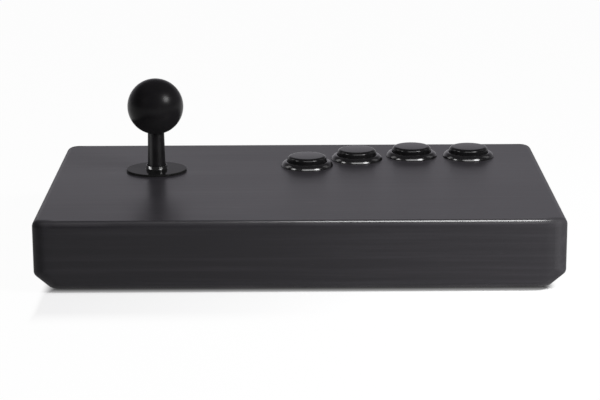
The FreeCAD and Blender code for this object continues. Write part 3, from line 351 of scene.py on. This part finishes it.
def finish(name, build):
    """A material whose Principled sockets come from build."""
    material = bpy.data.materials.new(name)
    material.use_nodes = True
    tree = Tree(material.node_tree)
    shader = tree.node("ShaderNodeBsdfPrincipled", None, build(tree))
    tree.node("ShaderNodeOutputMaterial", None, {"Surface": shader})
    return material


def cubed(value):
    """The same value along three axes or in three colours."""
    return (value, value, value)


def scaled(tint, factor):
    """A colour made lighter or darker."""
    return [part * factor for part in tint]


def moulded(name, dark, light, roughness, specular=0.5, scale=140.0, depth=0.02 * MM, spread=0.05):
    """Moulded plastic or rubber: soft clouding in the colour, fine pits in the surface."""

    def build(tree):
        place = tree.place()
        cloud = tree.noise(place, cubed(scale))
        fine = tree.noise(place, cubed(scale * 14), detail=2.0)
        return {
            "Base Color": tree.blend(cloud.between(0.3, 0.7), dark, light),
            "Roughness": (cloud - 0.5) * spread + (fine - 0.5) * spread + roughness,
            "Specular IOR Level": specular,
            "Normal": tree.bump(fine, depth),
        }

    return finish(name, build)


def metal(name, dark, light, roughness, scale, depth=0.01 * MM):
    """Plated, drawn or turned metal with scratches that run one way."""

    def build(tree):
        place = tree.place()
        cloud = tree.noise(place, cubed(90.0))
        lines = tree.noise(place, scale, detail=4.0)
        return {
            "Base Color": tree.blend(cloud.between(0.25, 0.75), dark, light),
            "Roughness": (lines - 0.5) * 0.25 + roughness,
            "Metallic": 1.0,
            "Normal": tree.bump(lines, depth),
        }

    return finish(name, build)


def case_wood():
    """Black-stained wood under satin lacquer, with grain along X and rubbed edges."""
    settings = bpy.context.scene.arcade_case
    low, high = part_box("case")
    centre = (low + high) / 2
    reach = (high - low) / 2
    edge = settings.edge

    def build(tree):
        place = tree.place()
        sides = tree.axes(place)
        # how far a point is past the start of the rounding, along each axis
        x, y, z = (abs(axis - mid) - (half - edge) for axis, mid, half in zip(sides, centre, reach))
        round_part = y.least(z).most(x.least(z)).most(x.least(y)) / edge
        waves = tree.noise(place, (22.0, 60.0, 60.0))
        grain = tree.noise(place, (7.0, 260.0, 260.0), detail=5.0, roughness=0.62)
        fibre = tree.noise(place, (40.0, 1500.0, 1500.0))
        cloud = tree.noise(place, (6.0, 14.0, 14.0), detail=2.0)
        fleck = tree.noise(place, (55.0, 420.0, 900.0), detail=2.0).between(0.735, 0.79)
        edges = round_part.between(0.25, 0.7)
        brow = (y.least(z) / edge).between(0.25, 0.7) * (1.0 - x.between(-4 * edge, -edge))
        corner = x.between(-2.5 * edge, -0.5 * edge) * y.between(-edge, 0.0)
        upper = sides[2].between(low.z + 4 * edge, low.z + 6 * edge)
        rubbed = edges * waves.between(0.46, 0.62)
        streak = grain.between(0.42, 0.72)
        stain = tree.blend(streak * 0.75 + cloud * 0.25, settings.stain, settings.grain)
        flecked = tree.blend(fleck * 0.6, stain, settings.rubbed)
        height = (grain * 0.4 + fibre * 0.2) * (1.0 - edges * 0.85) + waves * edges * 0.4
        patchy = (grain - 0.5) * 0.12 + (cloud - 0.5) * 0.10
        duller = (edges * 0.14).most(corner * 0.3)
        return {
            "Base Color": tree.blend(rubbed * 0.12, flecked, settings.rubbed),
            "Roughness": patchy + settings.roughness + duller,
            "Specular IOR Level": settings.specular,
            "Coat Weight": upper * brow * (waves * 0.3 + 0.6),
            "Coat Roughness": settings.coat_roughness,
            "Coat IOR": settings.coat_ior,
            "Normal": tree.bump(height, settings.relief),
        }

    return finish("stained_wood", build)


def base_board():
    """Black-painted hardboard with its pressed fibres showing."""

    def build(tree):
        place = tree.place()
        fibre = tree.noise(place, (420.0, 420.0, 90.0), detail=5.0, roughness=0.7)
        cloud = tree.noise(place, cubed(28.0))
        paint = tree.blend(fibre.between(0.3, 0.75), cubed(0.010), (0.030, 0.029, 0.028))
        return {
            "Base Color": paint,
            "Roughness": 0.55 + (fibre - 0.5) * 0.2 + (cloud - 0.5) * 0.12,
            "Normal": tree.bump(fibre, 0.08 * MM),
        }

    return finish("hardboard", build)


def board_green():
    """Solder mask over glass fibre, with paler tracks under it."""

    def build(tree):
        place = tree.place()
        weave = tree.noise(place, cubed(900.0), detail=2.0)
        lanes = tree.noise(place, (60.0, 420.0, 420.0), detail=0.0)
        track = abs(lanes - 0.5).between(0.02, 0.06)
        mask = tree.blend(track, (0.030, 0.180, 0.070), (0.012, 0.085, 0.035))
        return {
            "Base Color": tree.blend(weave.between(0.4, 0.8) * 0.2, mask, (0.05, 0.22, 0.10)),
            "Roughness": 0.30 + weave * 0.12,
            "Normal": tree.bump(track, 0.03 * MM),
        }

    return finish("solder_mask", build)


def knob_plastic():
    settings = bpy.context.scene.arcade_lever
    dark = settings.plastic
    light = scaled(dark, 1.5)
    return moulded(
        "satin_knob", dark, light, settings.roughness, specular=0.08, scale=60.0, depth=0.003 * MM
    )


def sleeve_plastic():
    dark = bpy.context.scene.arcade_lever.plastic
    return moulded("satin_sleeve", scaled(dark, 0.6), scaled(dark, 0.9), roughness=0.40, specular=0.07)


def washer_plastic():
    """Satin sheet with a polished hub."""
    settings = bpy.context.scene.arcade_lever
    centre = middle("dust_washer")

    def build(tree):
        place = tree.place()
        x, y = tree.axes(place)[:2]
        cloud = tree.noise(place, cubed(90.0))
        fine = tree.noise(place, cubed(1200.0), detail=2.0)
        out = ((x - centre.x).math("POWER", 2.0) + (y - centre.y).math("POWER", 2.0)).math("SQRT")
        hub = 1.0 - out.between(settings.hub, settings.hub + 0.2 * MM)
        return {
            "Base Color": tree.blend(cloud.between(0.3, 0.7), cubed(0.006), cubed(0.010)),
            "Roughness": (cloud - 0.5) * 0.03 + (fine - 0.5) * 0.03 + settings.disc_roughness,
            "Specular IOR Level": settings.disc_specular,
            "Coat Weight": hub,
            "Coat Roughness": settings.hub_roughness,
            "Coat IOR": settings.hub_ior,
            "Normal": tree.bump(fine, 0.001 * MM),
        }

    return finish("satin_washer", build)


def gloss_black(name="gloss_plastic", specular=0.30):
    settings = bpy.context.scene.arcade_buttons
    dark = settings.plastic
    light = scaled(dark, 1.4)
    return moulded(
        name, dark, light, settings.roughness, specular, scale=160.0, depth=0.0005 * MM
    )


FINISHES = {
    "case_wood": case_wood,
    "base_board": base_board,
    "board_green": board_green,
    "knob_plastic": knob_plastic,
    "sleeve_plastic": sleeve_plastic,
    "gloss_black": gloss_black,
    "cap_black": lambda: gloss_black("gloss_cap", 0.09),
    "washer_plastic": washer_plastic,
    "slip_nylon": lambda: moulded("nylon_sheet", (0.66, 0.65, 0.60), (0.76, 0.75, 0.71), 0.5),
    "dark_nylon": lambda: moulded("dark_nylon", cubed(0.020), cubed(0.034), 0.48),
    "white_nylon": lambda: moulded("natural_nylon", (0.64, 0.63, 0.58), (0.74, 0.73, 0.69), 0.5),
    "steel": lambda: metal("bright_steel", cubed(0.48), cubed(0.60), 0.30, (900.0, 900.0, 60.0)),
    "zinc_plate": lambda: metal(
        "zinc_sheet", (0.42, 0.43, 0.42), (0.56, 0.57, 0.55), 0.42, (30.0, 900.0, 900.0)
    ),
    "black_screw": lambda: metal("black_oxide", cubed(0.020), cubed(0.045), 0.42, cubed(700.0)),
    "brass": lambda: metal(
        "turned_brass", (0.52, 0.37, 0.13), (0.66, 0.50, 0.22), 0.32, (60.0, 60.0, 1200.0)
    ),
    "nickel": lambda: metal(
        "turned_nickel", (0.50, 0.49, 0.47), (0.64, 0.63, 0.60), 0.26, (60.0, 1200.0, 60.0)
    ),
    "foot_rubber": lambda: moulded(
        "soft_rubber",
        cubed(0.010),
        cubed(0.020),
        roughness=0.7,
        specular=0.35,
        scale=220.0,
        depth=0.05 * MM,
        spread=0.12,
    ),
    "chip_black": lambda: moulded("chip_package", cubed(0.014), cubed(0.024), 0.5),
    "lead_black": lambda: moulded("lead_sheath", cubed(0.012), cubed(0.022), 0.5),
    "wire_red": lambda: moulded("wire_sheath", (0.28, 0.020, 0.020), (0.40, 0.036, 0.034), 0.45),
}
MADE = {}


def slot_finish(slot):
    """The one material of a slot of the record, or of a piece that differs from its slot."""
    if slot not in MADE:
        MADE[slot] = FINISHES[slot]()
    return MADE[slot]


def slot_of(node):
    for row in frame["record"]["subparts"]:
        if row["node"] == node:
            return row["material_slot"]
    raise RuntimeError(f"the record has no node named {node}")


def dress(nodes):
    """Gives CAD nodes the finish of their slot."""
    for node in nodes:
        thing = frame["nodes"][node]
        thing.data.materials.clear()
        thing.data.materials.append(slot_finish(slot_of(node)))


def untouched(thing):
    """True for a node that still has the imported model's own material."""
    return all(material not in MADE.values() for material in thing.data.materials)


def body_of(node):
    for body, members in frame["record"]["behaviour"]["bodies"].items():
        if node in members:
            return body
    raise RuntimeError(f"no body holds {node}")


# pieces


def piece(name, mesh, node, material=None, bend=None):
    """A finished piece that stands for a CAD node, in its slot's finish or in its own.

    It rides on the node's body, or, given a bend, stays fixed in place with its transform baked in.
    """
    bmesh.ops.remove_doubles(mesh, verts=mesh.verts, dist=NEAR)
    bmesh.ops.recalc_face_normals(mesh, faces=mesh.faces)
    data = bpy.data.meshes.new(name)
    mesh.to_mesh(data)
    mesh.free()
    data.shade_smooth()
    data.set_sharp_from_angle(angle=SHARP)
    thing = bpy.data.objects.new(name, data)
    bpy.context.scene.collection.objects.link(thing)
    slot = slot_of(node)
    data.materials.append(material or slot_finish(slot))
    if bend:
        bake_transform(thing)
    else:
        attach(thing, body_of(node))
    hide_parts(node)
    return thing


def spun(corners, closed, segments):
    """A mesh turned about Z from (radius, height) corners."""
    mesh = bmesh.new()
    verts = [mesh.verts.new((radius, 0.0, height)) for radius, height in corners]
    pairs = list(zip(verts, verts[1:]))
    if closed:
        pairs.append((verts[-1], verts[0]))
    edges = [mesh.edges.new(pair) for pair in pairs]
    bmesh.ops.spin(
        mesh,
        geom=verts + edges,
        cent=(0.0, 0.0, 0.0),
        axis=(0.0, 0.0, 1.0),
        angle=FULL_TURN,
        steps=segments,
        use_merge=True,
    )
    bmesh.ops.remove_doubles(mesh, verts=mesh.verts, dist=MERGED)
    bmesh.ops.recalc_face_normals(mesh, faces=mesh.faces)
    return mesh


def rounded(mesh, radius, height, size, segments):
    """Rounds the ring of edges at a radius and a height."""

    def on_ring(vert):
        return abs(vert.co.z - height) < NEAR and abs(vert.co.xy.length - radius) < NEAR

    ring = [edge for edge in mesh.edges if all(on_ring(vert) for vert in edge.verts)]
    if not ring:
        raise RuntimeError(f"no ring of edges at {radius}, {height}")
    bmesh.ops.bevel(
        mesh,
        geom=ring,
        offset=size,
        offset_type="OFFSET",
        affect="EDGES",
        segments=segments,
        profile=0.5,
        material=-1,
        clamp_overlap=True,
    )


def moved(mesh, x, y, z=0.0):
    bmesh.ops.translate(mesh, verts=mesh.verts, vec=(x, y, z))


class ARCADE_OT_case(bpy.types.Operator):
    """Stain the case and finish the bottom board, its screws and its feet"""

    bl_idname = "arcade.case"
    bl_label = "Case"

    def execute(self, context):
        dress(["case", "base_plate", "base_screws", "rubber_feet"])
        return {"FINISHED"}


class ARCADE_OT_knob(bpy.types.Operator):
    """Make the ball knob with the flat and the bore under it"""

    bl_idname = "arcade.knob"
    bl_label = "Ball knob"

    def execute(self, context):
        settings = context.scene.arcade_lever
        low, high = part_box("ball_knob")
        radius = half_width("ball_knob")
        centre = Vector((*middle("ball_knob").xy, high.z - radius))
        insert_low, insert_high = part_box("knob_insert")
        bore = half_width("knob_insert")
        mesh = bmesh.new()
        bmesh.ops.create_uvsphere(
            mesh, u_segments=settings.segments, v_segments=settings.rings, radius=radius
        )
        moved(mesh, *centre)
        geometry = mesh.verts[:] + mesh.edges[:] + mesh.faces[:]
        sliced = bmesh.ops.bisect_plane(
            mesh,
            geom=geometry,
            dist=MERGED,
            plane_co=(0.0, 0.0, low.z),
            plane_no=(0.0, 0.0, 1.0),
            clear_inner=True,
        )
        rim = [item for item in sliced["geom_cut"] if isinstance(item, bmesh.types.BMEdge)]
        flat = bmesh.ops.edgeloop_fill(mesh, edges=rim)["faces"]
        bmesh.ops.inset_region(mesh, faces=flat, thickness=settings.knob_flat - bore, use_even_offset=True)
        bored = bmesh.ops.extrude_face_region(mesh, geom=flat)["geom"]
        deep = [item for item in bored if isinstance(item, bmesh.types.BMVert)]
        bmesh.ops.translate(mesh, verts=deep, vec=(0.0, 0.0, insert_high.z - insert_low.z))
        bmesh.ops.delete(mesh, geom=flat, context="FACES_ONLY")

        def outer(vert):
            return abs(vert.co.z - low.z) < NEAR and (vert.co.xy - centre.xy).length > bore + 10 * NEAR

        around = [edge for edge in mesh.edges if all(outer(vert) for vert in edge.verts)]
        bmesh.ops.bevel(
            mesh,
            geom=around,
            offset=settings.knob_round,
            offset_type="OFFSET",
            affect="EDGES",
            segments=3,
            profile=0.5,
            material=-1,
        )
        piece("knob", mesh, "ball_knob")
        return {"FINISHED"}


class ARCADE_OT_sleeve(bpy.types.Operator):
    """Make the tapered sleeve on the shaft"""

    bl_idname = "arcade.sleeve"
    bl_label = "Shaft sleeve"

    def execute(self, context):
        settings = context.scene.arcade_lever
        low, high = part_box("shaft_sleeve")
        foot = half_width("shaft_sleeve")
        bore = foot - settings.sleeve_wall
        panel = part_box("case")[1].z
        top = settings.sleeve_top
        corners = [(bore, low.z), (foot, low.z), (foot, panel), (top, high.z), (bore, high.z)]
        mesh = spun(corners, True, settings.segments)
        rounded(mesh, foot, low.z, settings.foot_round, segments=3)
        rounded(mesh, top, high.z, settings.head_round, segments=3)
        moved(mesh, *middle("shaft_sleeve").xy)
        piece("sleeve", mesh, "shaft_sleeve", slot_finish("sleeve_plastic"))
        return {"FINISHED"}


class ARCADE_OT_washer(bpy.types.Operator):
    """Make the dust washer with its raised hub"""

    bl_idname = "arcade.washer"
    bl_label = "Dust washer"

    def execute(self, context):
        settings = context.scene.arcade_lever
        low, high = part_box("dust_washer")
        rim = half_width("dust_washer")
        hub = settings.hub
        bore = hub - settings.hub_wall
        top = low.z + settings.disc
        shares = [step / HUB_STEPS for step in range(HUB_STEPS + 1)]
        wall = []
        for part in shares:
            inwards = settings.lean * part + settings.bulge * (2 * part - 1) ** 2
            wall.append((hub - inwards, top + (high.z - top) * part))
        flat = rim - settings.rim_band
        corners = [(bore, low.z), (rim, low.z), (rim, top), (flat, top), *wall, (bore, high.z)]
        mesh = spun(corners, True, settings.segments)
        rounded(mesh, rim, top, settings.rim_round, segments=4)
        rounded(mesh, rim, low.z, settings.under_round, segments=2)
        moved(mesh, *middle("dust_washer").xy)
        piece("washer", mesh, "dust_washer")
        return {"FINISHED"}


class ARCADE_OT_buttons(bpy.types.Operator):
    """Make the four pushbuttons: housings with their bezels, and plungers"""

    bl_idname = "arcade.buttons"
    bl_label = "Pushbuttons"

    def execute(self, context):
        for number in range(1, BUTTONS + 1):
            self.housing(context.scene, number)
            self.plunger(context.scene, number)
        return {"FINISHED"}

    def housing(self, scene, number):
        settings = scene.arcade_buttons
        node = f"button_{number}_housing"
        low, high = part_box(node)
        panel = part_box("case")[1].z
        bezel = half_width(node)
        floor = panel - settings.barrel_depth
        lip = settings.plunger + settings.gap
        inner = settings.barrel - settings.barrel_wall
        mouth = panel - settings.lip_depth
        inside = floor + settings.barrel_floor
        foot_top = panel + settings.bezel_foot
        slope_top = panel + settings.bezel_slope
        slope_out = bezel - settings.bezel_lean
        flat_out = bezel - settings.bezel_flat
        corners = [
            (settings.guide, floor),
            (settings.barrel, floor),
            (settings.barrel, panel),
            (bezel, panel),
            (bezel, foot_top),
            (slope_out, slope_top),
            (flat_out, high.z),
            (lip, high.z),
            (lip, mouth),
            (inner, mouth),
            (inner, inside),
            (settings.guide, inside),
        ]
        mesh = spun(corners, True, scene.arcade_lever.segments)
        rounded(mesh, slope_out, slope_top, settings.bezel_round, segments=6)
        rounded(mesh, flat_out, high.z, settings.bezel_round, segments=5)
        rounded(mesh, bezel, foot_top, settings.foot_round, segments=3)
        rounded(mesh, lip, high.z, settings.lip_round, segments=4)
        rounded(mesh, settings.barrel, floor, settings.barrel_round, segments=2)
        for side in (-1, 1):
            arm = bmesh.ops.create_cube(mesh, size=1.0)["verts"]
            sides = (settings.arm_thick, settings.arm_wide, floor - low.z)
            bmesh.ops.scale(mesh, verts=arm, vec=sides)
            bmesh.ops.translate(mesh, verts=arm, vec=(settings.arm_out * side, 0.0, (floor + low.z) / 2))
        moved(mesh, *middle(node).xy)
        piece(f"button_{number}_bezel", mesh, node)

    def plunger(self, scene, number):
        settings = scene.arcade_buttons
        node = f"button_{number}_plunger"
        low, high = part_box(node)
        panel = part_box("case")[1].z
        floor = panel - settings.barrel_depth
        flange = half_width(node)
        cap = settings.plunger
        inner = cap - settings.cap_wall
        ceiling = high.z - settings.cap_top
        flange_top = panel - settings.flange_drop
        flange_low = flange_top - settings.flange_thick
        stem = settings.stem
        pin = settings.pin
        edge_z = high.z - settings.crown
        crown = [(cap * out, high.z - settings.crown * drop) for out, drop in CROWN]
        corners = [
            (0.0, low.z),
            (pin, low.z),
            (pin, floor),
            (stem, floor),
            (stem, ceiling),
            (inner, ceiling),
            (inner, flange_low),
            (flange, flange_low),
            (flange, flange_top),
            (cap, flange_top),
            (cap, edge_z),
            *crown,
            (0.0, high.z),
        ]
        mesh = spun(corners, False, scene.arcade_lever.segments)
        rounded(mesh, cap, edge_z, settings.plunger_round, segments=7)
        rounded(mesh, pin, low.z, settings.pin_round, segments=2)
        moved(mesh, *middle(node).xy)
        piece(f"button_{number}_cap", mesh, node, slot_finish("cap_black"))


class ARCADE_OT_springs(bpy.types.Operator):
    """Make the springs of the buttons and the lever"""

    bl_idname = "arcade.springs"
    bl_label = "Springs"

    def execute(self, context):
        buttons = context.scene.arcade_buttons
        for number in range(1, BUTTONS + 1):
            node = f"button_{number}_spring"
            mesh = self.coil(node, buttons.wire, buttons.turns)
            spring = piece(f"button_{number}_coil", mesh, node)
            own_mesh(spring)
        split = context.scene.arcade_lever.split
        self.lever_part(context, "lever_coil_lower", (0.0, split), ("stick", "gimbal"))
        self.lever_part(context, "lever_coil_upper", (split, 1.0), ("gimbal", "case_unit"))
        return {"FINISHED"}

    def lever_part(self, context, name, part, bodies):
        """A part of the centring spring, which spans between two bodies; it is baked in place and not
        attached to them.
        """
        lever = context.scene.arcade_lever
        low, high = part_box("lever_spring")
        x, y = middle("lever_spring").xy
        start, end = ((x, y, low.z + (high.z - low.z) * up) for up in part)
        mesh = self.coil("lever_spring", lever.wire, lever.turns, part)
        bend = {"a": bodies[0], "b": bodies[1], "start": start, "end": end}
        piece(name, mesh, "lever_spring", bend=bend)

    def coil(self, node, wire, turns, part=(0.0, 1.0)):
        """An open coil of round wire in the place of a node, between two shares of its height."""
        low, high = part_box(node)
        start, end = part
        height = high.z - low.z - 2 * wire
        turn = turns * (end - start) * FULL_TURN
        steps = round(turns * (end - start) * COIL_STEPS)
        mesh = bmesh.new()
        ring = bmesh.ops.create_circle(mesh, segments=WIRE_SIDES, radius=wire)["verts"]
        upright = Matrix.Rotation(math.pi / 2, 3, "X")
        bmesh.ops.rotate(mesh, verts=ring, cent=(0.0, 0.0, 0.0), matrix=upright)
        moved(mesh, half_width(node) - wire, 0.0, low.z + wire + height * start)
        first = Matrix.Rotation(turns * start * FULL_TURN, 3, "Z")
        bmesh.ops.rotate(mesh, verts=ring, cent=(0.0, 0.0, 0.0), matrix=first)
        bmesh.ops.spin(
            mesh,
            geom=mesh.verts[:] + mesh.edges[:],
            cent=(0.0, 0.0, 0.0),
            axis=(0.0, 0.0, 1.0),
            dvec=(0.0, 0.0, height * (end - start) / steps),
            angle=turn,
            steps=steps,
        )
        bmesh.ops.holes_fill(mesh, edges=mesh.edges[:])
        moved(mesh, *middle(node).xy)
        return mesh


class ARCADE_OT_works(bpy.types.Operator):
    """Finish the lever's works, the switches, the boards, the wiring and the rear socket"""

    bl_idname = "arcade.works"
    bl_label = "Works and socket"

    def execute(self, context):
        dress([node for node, thing in frame["nodes"].items() if untouched(thing)])
        return {"FINISHED"}


# where the lamps stand, which way they lie, how wide they are and what they face, in metres
KEY_WAY = Vector((0.708, -0.442, 0.553))
KEY_REACH = 700 * MM
KEY_WIDTH = 230 * MM
WASH_PLACE = Vector((330.0, -330.0, 25.0)) * MM
WASH_WIDTH = 34 * MM
FRONT_FACE = Vector((60.0, -100.0, 24.0)) * MM
EDGE_PLACE = Vector((195.0, 150.0, 1020.0)) * MM
EDGE_WIDTH = 400 * MM
FRONT_EDGE = Vector((60.0, -100.0, 42.0)) * MM
FILL_WAY = (-0.62, -0.62, 0.48)
FILL_SPREAD = math.radians(30.0)
BOUNCE_WAY = (0.05, -0.25, -0.97)
BOUNCE_SPREAD = math.radians(60.0)
# lit windows: name, direction, sides, share of the glints' radiance and the pieces that they show in
WINDOWS = (
    ("front_window", (0.089, -0.726, 0.682), (0.85, 0.42), 0.55, "plastic"),
    ("left_window", (-0.757, -0.275, 0.593), (0.25, 0.20), 1.0, "plastic"),
    ("left_side", (-0.760, 0.307, 0.574), (0.30, 0.40), 0.15, "plastic"),
    ("right_side", (0.760, 0.307, 0.574), (0.30, 0.40), 0.07, "plastic"),
    ("left_gleam", (-0.964, -0.258, -0.060), (0.60, 0.12), 1.0, "stem"),
    ("right_gleam", (0.681, -0.730, -0.060), (0.60, 0.12), 1.0, "stem"),
)
WINDOWS_MIDDLE = Vector((0.0, 0.04, 0.045))
FLOOR_HALF = 20.0


class ARCADE_OT_stage(bpy.types.Operator):
    """Lay the floor, set the light and place the camera"""

    bl_idname = "arcade.stage"
    bl_label = "Floor, light and camera"

    def execute(self, context):
        scene = context.scene
        settings = scene.arcade_stage
        scene.view_settings.view_transform = "Standard"
        self.floor(scene, settings)
        self.room(scene, settings)
        self.lamps(scene, settings)
        self.camera(scene, settings)
        return {"FINISHED"}

    def lamps(self, scene, settings):
        """Soft light for all, and lamps that light only the pieces that they are for."""
        case = self.receivers("lit_case", ["case"])
        plastic = []
        for number in range(1, BUTTONS + 1):
            plastic += [f"button_{number}_bezel", f"button_{number}_cap"]
        shown_in = {
            "plastic": self.receivers("lit_plastic", plastic),
            "stem": self.receivers("lit_stem", ["washer", "sleeve"]),
        }
        ball = self.receivers("lit_knob", ["knob"])
        key_place = middle("ball_knob") + KEY_WAY * KEY_REACH
        self.disc(scene, "key_light", key_place, KEY_WAY, KEY_WIDTH, settings.key)
        self.disc(scene, "wash_light", WASH_PLACE, WASH_PLACE - FRONT_FACE, WASH_WIDTH, settings.wash, case)
        self.disc(scene, "edge_light", EDGE_PLACE, EDGE_PLACE - FRONT_EDGE, EDGE_WIDTH, settings.edge, case)
        self.sun(scene, "fill_light", FILL_WAY, FILL_SPREAD, settings.fill)
        self.sun(scene, "bounce_light", BOUNCE_WAY, BOUNCE_SPREAD, settings.bounce, ball)
        for name, way, sides, part, pieces in WINDOWS:
            self.window(scene, name, way, sides, settings.glint * part, shown_in[pieces])

    def floor(self, scene, settings):
        mesh = bmesh.new()
        bmesh.ops.create_grid(mesh, x_segments=4, y_segments=4, size=FLOOR_HALF)
        data = bpy.data.meshes.new("floor")
        mesh.to_mesh(data)
        mesh.free()
        thing = bpy.data.objects.new("floor", data)
        scene.collection.objects.link(thing)
        data.materials.append(self.paper(settings))

    def paper(self, settings):
        """Pale paper that the camera and mirrors see whiter, and pure white away from the object."""
        material = bpy.data.materials.new("floor_paper")
        material.use_nodes = True
        tree = Tree(material.node_tree)
        place = tree.place()
        x, y = tree.axes(place)[:2]
        low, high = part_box("case")
        ahead = low.y - y
        beside = (abs(x) - high.x).between(-13 * MM, -3 * MM)
        behind = (y - high.y).between(0.0, 30 * MM)
        clear = beside.most(behind).most(ahead.between(0.0, 60 * MM))
        tone = tree.noise(place, cubed(3.0), detail=2.0)
        pale = settings.floor
        sockets = {
            "Base Color": tree.blend(tone, scaled(pale, 0.99), pale),
            "Roughness": 0.9,
            "Specular IOR Level": 0.0,
        }
        lit = tree.node("ShaderNodeBsdfPrincipled", None, sockets)
        glow = tree.node("ShaderNodeEmission", None, {"Color": (1.0, 1.0, 1.0, 1.0), "Strength": 1.0})
        seen = tree.node("ShaderNodeLightPath", output="Is Camera Ray")
        seen = seen + tree.node("ShaderNodeLightPath", output="Is Glossy Ray")
        seen = seen + tree.node("ShaderNodeLightPath", output="Is Transmission Ray")
        white = (ahead.between(-12 * MM, 4 * MM) * settings.bare).most(clear * 0.97)
        sockets = {0: seen.least(1.0) * white, 1: lit, 2: glow}
        surface = tree.node("ShaderNodeMixShader", None, sockets)
        tree.node("ShaderNodeOutputMaterial", None, {"Surface": surface})
        return material

    def room(self, scene, settings):
        """A dim room, lighter low behind the object and towards the left."""
        world = bpy.data.worlds.new("studio")
        scene.world = world
        world.use_nodes = True
        tree = Tree(world.node_tree)
        across, along, up = tree.axes(tree.node("ShaderNodeTexCoord", output="Generated"))
        back = along.between(-0.6, 0.9) * (1.0 - up.between(0.22, 0.55) * 0.85)
        left = 1.0 - across.between(-0.1, 0.5) * 0.4
        level = back * left * (settings.behind - settings.front) + settings.front
        level = level + up.most(0.0) * settings.above
        grey = tree.node("ShaderNodeCombineColor", None, {0: level, 1: level * 0.97, 2: level * 1.05})
        light = tree.node("ShaderNodeBackground", None, {"Color": grey, "Strength": 1.0})
        tree.node("ShaderNodeOutputWorld", None, {"Surface": light})

    def receivers(self, name, names):
        """A collection of the objects that a light is for."""
        group = bpy.data.collections.new(name)
        for each in names:
            group.objects.link(bpy.data.objects[each])
        return group

    def disc(self, scene, name, place, towards, width, power, only=None):
        """A round soft lamp that stands at a place."""
        data = bpy.data.lights.new(name, "AREA")
        data.shape = "DISK"
        data.size = width
        data.energy = power
        thing = self.lamp(scene, name, data, towards, only)
        thing.location = place
        thing.visible_camera = False

    def window(self, scene, name, towards, sides, radiance, only):
        """A lit window a metre from the panel that shows in glossy pieces."""
        data = bpy.data.lights.new(name, "AREA")
        data.shape = "RECTANGLE"
        data.size, data.size_y = sides
        data.energy = radiance * math.pi * sides[0] * sides[1]
        thing = self.lamp(scene, name, data, towards, only)
        thing.location = Vector(towards).normalized() + WINDOWS_MIDDLE
        thing.visible_camera = False

    def sun(self, scene, name, towards, spread, strength, only=None):
        """A far lamp, as wide as its spread."""
        data = bpy.data.lights.new(name, "SUN")
        data.energy = strength
        data.angle = spread
        self.lamp(scene, name, data, towards, only)

    def lamp(self, scene, name, data, towards, only):
        """A lamp that lies towards a direction, for every object or only for some."""
        thing = bpy.data.objects.new(name, data)
        scene.collection.objects.link(thing)
        thing.rotation_mode = "QUATERNION"
        thing.rotation_quaternion = (-Vector(towards)).to_track_quat("-Z", "Y")
        if only:
            thing.light_linking.receiver_collection = only
            thing.light_linking.blocker_collection = only
        return thing

    def camera(self, scene, settings):
        data = bpy.data.cameras.new("camera")
        data.sensor_width = settings.sensor
        data.lens = settings.lens
        thing = bpy.data.objects.new("camera", data)
        scene.collection.objects.link(thing)
        yaw = Matrix.Rotation(-settings.yaw, 4, "Z")
        pitch = Matrix.Rotation(math.pi / 2 - settings.pitch, 4, "X")
        roll = Matrix.Rotation(settings.roll, 4, "Z")
        thing.matrix_world = Matrix.Translation(settings.spot) @ yaw @ pitch @ roll
        scene.camera = thing


class ARCADE_PT_sidebar(bpy.types.Panel):
    """Every setting and step of the arcade stick"""

    bl_idname = "ARCADE_PT_sidebar"
    bl_label = "Arcade stick"
    bl_space_type = "VIEW_3D"
    bl_region_type = "UI"
    bl_category = "Arcade stick"

    def draw(self, context):
        for name, group in SETTINGS.items():
            box = self.layout.box()
            for key in group.__annotations__:
                box.prop(getattr(context.scene, name), key)
        for step in STEPS:
            self.layout.operator(step.bl_idname)


STEPS = (
    ARCADE_OT_case,
    ARCADE_OT_knob,
    ARCADE_OT_sleeve,
    ARCADE_OT_washer,
    ARCADE_OT_buttons,
    ARCADE_OT_springs,
    ARCADE_OT_works,
    ARCADE_OT_stage,
)
CLASSES = (*SETTINGS.values(), *STEPS, ARCADE_PT_sidebar)


def register():
    for kind in CLASSES:
        bpy.utils.register_class(kind)
    for name, group in SETTINGS.items():
        setattr(bpy.types.Scene, name, PointerProperty(type=group))


def unregister():
    for name in SETTINGS:
        delattr(bpy.types.Scene, name)
    for kind in reversed(CLASSES):
        bpy.utils.unregister_class(kind)


def main():
    register()
    bpy.ops.arcade.case()
    bpy.ops.arcade.knob()
    bpy.ops.arcade.sleeve()
    bpy.ops.arcade.washer()
    bpy.ops.arcade.buttons()
    bpy.ops.arcade.springs()
    bpy.ops.arcade.works()
    bpy.ops.arcade.stage()
    bpy.context.view_layer.update()


if __name__ == "__main__":
    main()
